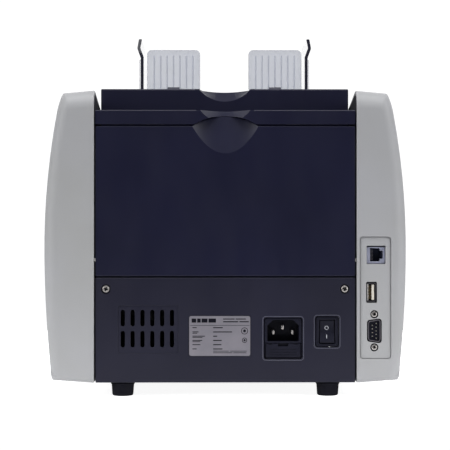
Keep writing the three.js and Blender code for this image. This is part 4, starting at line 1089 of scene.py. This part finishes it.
for end in ("front", "rear"):
    for name, side in SIDES:
        low, high = box_mm(f"{end}_{name}_foot")
        mid = (low + high) / 2
        r = (high.x - low.x) / 2
        profile = [(0, 0), (r - 2.4, 0)]
        profile += [(r - 2.4 + 1.4 * math.sin(t), 1.4 - 1.4 * math.cos(t)) for t in (0.4, 0.8, 1.2, 1.57)]
        top = high.z
        profile += [(r - 0.5, top - 1.4), (r, top - 1.0), (r, top - 0.4), (r - 0.4, top), (0, top)]
        foot = lathe(f"{end}_{name}_rubber_foot", "Z", (mid.x, mid.y), profile, 56)
        piece(foot, RUBBER, "chassis", "black_rubber", f"{end}_{name}_foot", smooth=35)

# ---- power inlet, fuse drawer, switch -----------------------------------------------------------
x, z = INLET
face = PANEL_Y - 0.9
shell = slab("inlet_flange", "Y", rounded(x, z, 28.2, 30.4, 1.6), face - 3, face, 0, 0.35)
weld(shell, block("inlet_back", x - 13.6, x + 13.6, 105.6, face - 2, z - 14.8, z + 14.8, 0.5))
SOCKET_Z = 49.45
cavity = [(x - 11.95, SOCKET_Z - 8.2), (x + 11.95, SOCKET_Z - 8.2), (x + 11.95, SOCKET_Z + 3.7),
          (x + 7.45, SOCKET_Z + 8.2), (x - 7.45, SOCKET_Z + 8.2), (x - 11.95, SOCKET_Z + 3.7)]
cavity = filleted([(a, b, 0.8) for a, b in cavity], 0.0, 3)
cut(shell, flared("cut", "Y", cavity, face - 15.5, face + 1, face, 0.25))
bay = block("bay", x - 13.55, x + 13.55, 109, face + 1, 28.9, 40.2)
cut(shell, bay)
piece(shell, BLACK, "chassis", "black_plastic", "power_inlet", smooth=32)
for index, (dx, pin_z) in enumerate(((0.2, 51.7), (7.3, 48), (-7.3, 48))):
    blade = rounded(x + dx, pin_z, 1.8, 3.4, 0.7)
    pin = slab(f"inlet_pin_{index + 1}", "Y", blade, face - 15.8, face - 3.6, 0, 0.6)
    piece(pin, SCREW_STEEL, "chassis", "steel", smooth=35)
drawer = slab("fuse_drawer_face", "Y", rounded(x, 34.55, 26.6, 10.7, 0.7), 111.6, face - 0.2, 0, 0.45)
cut(drawer, block("notch", x - 4, x + 4, face - 2.4, face + 1, 37.6, 41, 0.4))
for dx in (-9.6, 9.6):
    cut(drawer, block("nick", x + dx - 1.3, x + dx + 1.3, face - 1, face + 1, 38.9, 41))
for line in (31.2, 33.2, 35.2):
    cut(drawer, block("line", x - 10.5, x + 10.5, face - 0.55, face + 1, line - 0.25, line + 0.25))
piece(drawer, BLACK, "fuse_drawer", "black_plastic", "fuse_drawer", smooth=32)

x, z = SWITCH
face = PANEL_Y - 0.8
bezel = slab("switch_frame", "Y", rounded(x, z, 17.2, 22.6, 1.4), face - 3, face, 0, 0.5)
weld(bezel, block("switch_body", x - 7.4, x + 7.4, 114.8, face - 2, z - 10, z + 10, 0.4))
cut(bezel, flared("cut", "Y", rounded(x, z, 11.9, 17.8, 0.5), 117, face + 1, face, 0.5))
piece(bezel, BLACK, "chassis", "black_plastic", "switch_bezel", smooth=32)
ROCKER = joint_pos("power_rocker")


TILT = math.radians(8)


def swung(a, b):
    """A point of the rocker, from its place round the pivot to where its tilt puts it."""
    y = ROCKER.y - 0.1 + a * math.cos(TILT) - b * math.sin(TILT)
    return (y, ROCKER.z + a * math.sin(TILT) + b * math.cos(TILT))


def valley(t):
    """How far out the rocker's face stands, t from -1 to 1 along it."""
    return 0.2 + 1.55 * abs(t) ** 1.25


def rocker_profile():
    """The rocker from the side: two slopes that meet in a shallow valley."""
    points = [(1.5, -8.45), (1.75, -8.1)]
    points += [(valley(t), 8.1 * t) for t in np.linspace(-0.94, 0.94, 13)]
    points += [(1.75, 8.1), (1.5, 8.45), (-3.6, 7.85), (-6, 0), (-3.6, -7.85)]
    return [swung(a, b) for a, b in points]


rocker = slab("rocker_cap", "X", rocker_profile(), x - 5.45, x + 5.45, 0.3, 0.3)
piece(rocker, BLACK, "rocker", "black_plastic", "switch_rocker", smooth=22)


def legend(name, outline_rings):
    """A thin raised mark on the rocker: rings of (across, along) points."""
    verts, faces = [], []
    n = len(outline_rings[0])
    for lift in (-0.1, 0.06):
        for ring in outline_rings:
            for across, along in ring:
                y, height = swung(valley(along / 8.1) + lift, along)
                verts.append((x + across, y, height))
    if len(outline_rings) == 2:
        for i in range(n):
            j = (i + 1) % n
            faces += [(i, j, n + j, n + i), (2 * n + i, 2 * n + j, 3 * n + j, 3 * n + i),
                      (i, j, 2 * n + j, 2 * n + i), (n + i, n + j, 3 * n + j, 3 * n + i)]
    else:
        faces = [tuple(range(n)), tuple(range(n, 2 * n))]
        faces += [(i, (i + 1) % n, n + (i + 1) % n, n + i) for i in range(n)]
    return mesh_object(name, verts, faces)


ring_mark = [circle(0.3, 2.8, r, 28) for r in (1.45, 1.08)]
line_mark = [[(0.05, -5.2), (0.55, -5.2), (0.55, -4), (0.55, -2.3), (0.05, -2.3), (0.05, -4)]]
for name, rings in (("rocker_mark_off", ring_mark), ("rocker_mark_on", line_mark)):
    piece(legend(name, rings), LEGEND, "rocker", "lavender_plastic", smooth=30)

# ---- rating label -------------------------------------------------------------------------------
top = LABEL_HIGH.y
width, height = LABEL_HIGH.x - LABEL_LOW.x, LABEL_HIGH.z - LABEL_LOW.z
sheet = rounded(label_mid.x, label_mid.z, width, height, 1.5)
plate = slab("rating_plate", "Y", sheet, LABEL_LOW.y - 0.2, top - 0.05, 0, 0.03)
piece(plate, LABEL_FOIL, "chassis", "label_foil", "rating_label")
# Its left edge as it is read is at +X. Bars stand for the print, each with its distance from the
# left and from the top, its width and its height.
marks = [(1.8, 1.9, 3.4, 3.0), (6.0, 1.9, 2.6, 3.0), (9.3, 1.9, 4.4, 3.0), (14.5, 1.9, 5.6, 3.0),
         (25.5, 1.9, 8.6, 0.7), (35.0, 1.9, 7.6, 0.7), (25.5, 3.9, 11.4, 0.8), (37.8, 3.9, 7.0, 0.8),
         (0.6, 6.9, width - 1.2, 0.28)]
rows = ((3.2, 7.2), (4.6, 14.2), (9.4, 3.0), (7.4, 6.4), (6.0, 6.2), (3.2, 7.0))
for row, (a, b) in enumerate(rows):
    y0 = 8.4 + row * 3.2
    marks += [(2.4, y0, a, 0.62), (18.0, y0, b, 0.72)]
    if row in (1, 2, 3):
        marks.append((2.4, y0 + 1.05, a * 0.8, 0.5))
marks += [(18.0, 26.2, 11.8, 0.42), (30.6, 26.2, 12.6, 0.42), (18.0, 27.4, 14.4, 0.42),
          (33.2, 27.4, 9.8, 0.42)]
bars = []
under = top - 0.12
for a, b, w, h in marks:
    x1, z1 = LABEL_HIGH.x - a, LABEL_HIGH.z - b
    outline = [(x1 - w, z1 - h), (x1, z1 - h), (x1, z1), (x1 - w, z1)]
    bars.append(prism("bar", "Y", outline, under, top))
for a, b, r in ((41.6, 11.2, 2.6), (41.6, 18.2, 1.9)):
    cx, cz = LABEL_HIGH.x - a, LABEL_HIGH.z - b
    for name, r0, r1, count in (("ring", r - 0.45, r, 28), ("dot", 0, r * 0.42, 20)):
        profile = [(r0, under), (r1, under), (r1, top), (r0, top)]
        bars.append(lathe(name, "Y", (cx, cz), profile, count))
piece(gather("rating_print", bars), PRINT, "chassis", "black_plastic")

# ---- data connectors ----------------------------------------------------------------------------
rear = RECESS_Y - 1.0
x, z = JACK
jack = slab("network_socket", "Y", rounded(x, z - 0.3, 13.8, 12.8, 0.4), 114, rear - 1.2, 0, 0.3)
half_key = [(-5.4, -3), (-3.2, -3), (-3.2, -4.4), (-2.6, -5), (4.4, -5)]
key = [(x + a, z + b) for a, b in half_key] + [(x + a, z - b) for a, b in half_key[::-1]]
hollow(jack, key, 117, rear + 1)
piece(jack, PALE, "chassis", "lavender_plastic", "network_port", smooth=32)
# A dark back in the key opening: painted shade inside the socket.
dark = slab("network_socket_back", "Y", grown(key, 0.3), 116.2, 121.0)
piece(dark, JACK_SHADE, "chassis", "black_plastic")
# The contacts are darkened metal: painted shade inside the socket.
contacts = []
for i in range(8):
    z0 = z - 3.9 + 1.02 * i
    contacts.append(block("contact", x + 2.0, x + 4.1, 118, rear - 3.0, z0, z0 + 0.4))
piece(gather("network_contacts", contacts), SHADED_METAL, "chassis", "steel", smooth=32)
# The latch is coloured dark: painted shade inside the socket.
latch = block("network_latch", x - 4.9, x - 3.9, 118, rear - 2.0, z - 1.6, z + 1.6, 0.2)
piece(latch, JACK_SHADE, "chassis", "lavender_plastic", smooth=32)

x, z = USB
# A dark ring in the cover's opening round the can: painted shade.
surround = slab("usb_surround", "Y", rounded(x, z, 8.0, 15.7, 0.9), WALL_IN + 0.2, RECESS_Y - 0.5)
hollow(surround, rounded(x, z, 7.1, 13.9, 1.1), *THROUGH)
piece(surround, RECESS_DARK, "chassis", "black_plastic")
# The can is darkened metal: painted shade in the opening.
can = slab("usb_can", "Y", rounded(x, z, 7.0, 13.8, 1.1), 115, rear + 0.3, 0, 0.12)
hollow(can, rounded(x, z, 6.3, 13.1, 0.8), 117, rear + 1)
piece(can, SHADED_METAL, "chassis", "steel", "usb_port", smooth=32)
# The can's near inner wall is coloured bright: painted highlight.
wall = block("usb_near_wall", x + 2.45, x + 3.1, 118, rear - 0.3, z - 6.3, z + 6.3, 0.2)
piece(wall, BRIGHT_HIGHLIGHT, "chassis", "steel", smooth=32)
# A dark slab at the back of the can: painted shade inside it.
usb_shade_slab = slab("usb_painted_shade", "Y", rounded(x, z, 6.2, 13.0, 0.7), 116.5, 122.5)
piece(usb_shade_slab, USB_SHADE, "chassis", "black_plastic")
tongue = slab("usb_tongue", "Y", rounded(x - 1.15, z, 1.9, 11.6, 0.3), 120, rear - 0.5, 0, 0.2)
piece(tongue, CREAM, "chassis", "lavender_plastic", smooth=32)
strips = []
for i in range(4):
    z0 = z - 4.9 + 2.6 * i
    strips.append(block("strip", x - 0.1, x + 2.4, 121, rear - 1.0 - 0.2 * i, z0, z0 + 2.1, 0.1))
piece(gather("usb_contacts", strips), USB_BROWN, "chassis", "steel", smooth=32)

x, z = SERIAL
# A dark ring in the cover's opening round the shell: painted shade.
surround = slab("serial_surround", "Y", d_outline(11.1, 19.0, 1.5, 2.2), WALL_IN + 0.2, RECESS_Y - 0.5)
hollow(surround, d_outline(9.5, 17.5, 1.5, 2.0), *THROUGH)
piece(surround, RECESS_DARK, "chassis", "black_plastic")
# The shell is darkened metal: painted shade in the recess.
shell = slab("serial_shell", "Y", d_outline(9.2, 17.2, 1.5, 1.9), rear - 2.5, rear + 1.2, 0, 0.15)
hollow(shell, d_outline(8.3, 16.3, 1.45, 1.5), rear - 6, rear + 2)
piece(shell, SHADED_METAL, "chassis", "steel", "serial_port", smooth=32)
# The connector's steel flange is coloured black: painted shade behind the opening.
flange = slab("serial_flange", "Y", rounded(x, z, 14.6, 32.4, 1.0), rear - 3.4, rear - 2.4, 0, 0.2)
cut(flange, *screw_cuts(1.6, 100, rear))
piece(flange, BLACK, "chassis", "steel", smooth=32)
insert = slab("serial_insert", "Y", d_outline(8.2, 16.2, 1.45, 1.4), rear - 2.6, rear - 1.0)
piece(insert, BLACK, "chassis", "black_plastic")
PIN = ((0, rear - 1.1), (0.42, rear - 1.1), (0.42, rear + 0.5), (0.25, rear + 0.75), (0, rear + 0.8))
pins = []
for column, count in ((-1.42, 5), (1.42, 4)):
    for i in range(count):
        at = (x + column, z + 2.77 * (i - (count - 1) / 2))
        pins.append(lathe("pin", "Y", at, PIN, 16))
piece(gather("serial_pins", pins), PIN_METAL, "chassis", "steel", smooth=35)
for name, height in (("upper", z + SCREW_REACH), ("lower", z - SCREW_REACH)):
    screw = cross_screw(f"serial_{name}_screw_head", x, height, RECESS_Y - 0.4, 2.25, 1.3, 1.4, 8)
    piece(screw, SCREW_STEEL, "chassis", "steel", f"serial_{name}_screw", smooth=35)
    shade_recess(screw, x, height, 1.6, RECESS_Y - 0.75)

# ---- what is left of the frame ------------------------------------------------------------------
FINISH = {
    "grey_plastic": GREY,
    "navy_plastic": NAVY,
    "slate_plastic": SLATE,
    "black_plastic": BLACK,
    "painted_steel": FRAME_PAINT,
    "steel": STEEL,
    "feed_rubber": TYRE,
    "black_rubber": RUBBER,
    "clear_plastic": CLEAR,
    "gear_plastic": AMBER_GEAR,
    "circuit_board": BOARD,
    "display_glass": GLASS,
    "lavender_plastic": PALE,
    "label_foil": LABEL_FOIL,
}
slots = {part["node"]: part["material_slot"] for part in frame["record"]["subparts"]}
# Edges of what still shows as it was built are broken by this much.
BROKEN_EDGE = {"stacker_pocket": 0.7, "base_tray": 0.6, "left_side_frame": 0.2, "right_side_frame": 0.2}
for name, node in frame["nodes"].items():
    node.data.materials.clear()
    node.data.materials.append(FINISH[slots[name]])
    soft_edges(node, BROKEN_EDGE.get(name, 0.25), 2, 40)

# Beside its rollers or hubs each of these shafts is bare steel.
AXLE_R = 3.0
for name, joint in (("pickup_roller_shaft", "pickup_spin"), ("drum_shaft", "drum_spin"),
                    ("lower_transport_shaft", "lower_transport_spin")):
    shaft = frame["nodes"][name]
    shaft.data.materials.append(STEEL)
    centre = joint_pos(joint)
    for face in shaft.data.polygons:
        middle = shaft.matrix_world @ face.center / MM
        if math.hypot(middle.y - centre.y, middle.z - centre.z) < AXLE_R + 0.3:
            face.material_index = 1

# ---- floor, lights and camera -------------------------------------------------------------------
floor_mesh = bpy.data.meshes.new("floor")
corners = [(-0.6, -0.6, 0), (0.6, -0.6, 0), (0.6, 0.34, 0), (-0.6, 0.34, 0)]
floor_mesh.from_pydata(corners, [], [(0, 1, 2, 3)])
FLOOR_OBJECT = linked("floor", floor_mesh)
sheet = Shader("paper", (0.86, 0.86, 0.86), 0.9, specular=0.1)
sheet.vary_color(sheet.noise(3, 2), 0.01)
sheet.shader.inputs["Emission Color"].default_value = (1, 1, 1, 1)
# The floor is lit to white where it is seen, and throws less of that light up at the machine.
rays = sheet.tree.nodes.new("ShaderNodeLightPath")
glow = sheet.tree.nodes.new("ShaderNodeMapRange")
glow.inputs["To Min"].default_value = 0.32
glow.inputs["To Max"].default_value = 0.9
sheet.tree.links.new(rays.outputs["Is Camera Ray"], glow.inputs["Value"])
sheet.tree.links.new(glow.outputs["Result"], sheet.shader.inputs["Emission Strength"])
floor_mesh.materials.append(sheet.material)

world = bpy.data.worlds.new("studio")
SCENE.world = world
world.use_nodes = True
tree = world.node_tree
back = tree.nodes["Background"]
back.inputs["Color"].default_value = (0.12, 0.122, 0.13, 1)
seen = tree.nodes.new("ShaderNodeBackground")
seen.inputs["Color"].default_value = (1.08, 1.08, 1.08, 1)
path = tree.nodes.new("ShaderNodeLightPath")
mix = tree.nodes.new("ShaderNodeMixShader")
tree.links.new(path.outputs["Is Camera Ray"], mix.inputs["Fac"])
tree.links.new(back.outputs["Background"], mix.inputs[1])
tree.links.new(seen.outputs["Background"], mix.inputs[2])
tree.links.new(mix.outputs["Shader"], tree.nodes["World Output"].inputs["Surface"])


def softbox(name, place, target, size, power):
    """A large soft light at `place`, in metres, turned to its target."""
    light = bpy.data.lights.new(name, "AREA")
    light.shape = "RECTANGLE"
    light.size, light.size_y = size
    light.energy = power
    lamp = linked(name, light)
    lamp.location = place
    lamp.rotation_euler = (Vector(target) - Vector(place)).to_track_quat("-Z", "Y").to_euler()


softbox("side_left", (1.75, 0.95, 0.75), (0, 0.05, 0.12), (0.7, 1.6), 24)
softbox("side_right", (-1.75, 0.95, 0.75), (0, 0.05, 0.12), (0.7, 1.6), 24)
softbox("top", (0, 0.5, 1.9), (0, 0, 0.1), (1.8, 1.2), 33)
softbox("front_left", (0.9, -1.7, 1.1), (0, 0, 0.12), (1.2, 1.2), 9)
softbox("front_right", (-0.9, -1.7, 1.1), (0, 0, 0.12), (1.2, 1.2), 9)

camera = bpy.data.cameras.new("camera")
camera.sensor_width = 36
camera.lens = 122.3
camera.clip_end = 50
view = linked("camera", camera)
view.location = (0.012, 1.280, 0.129)
view.rotation_euler = (Vector((0.0003, 0.130, 0.129)) - view.location).to_track_quat("-Z", "Y").to_euler()
SCENE.camera = view
SCENE.view_settings.view_transform = "Standard"
SCENE.view_settings.look = "None"
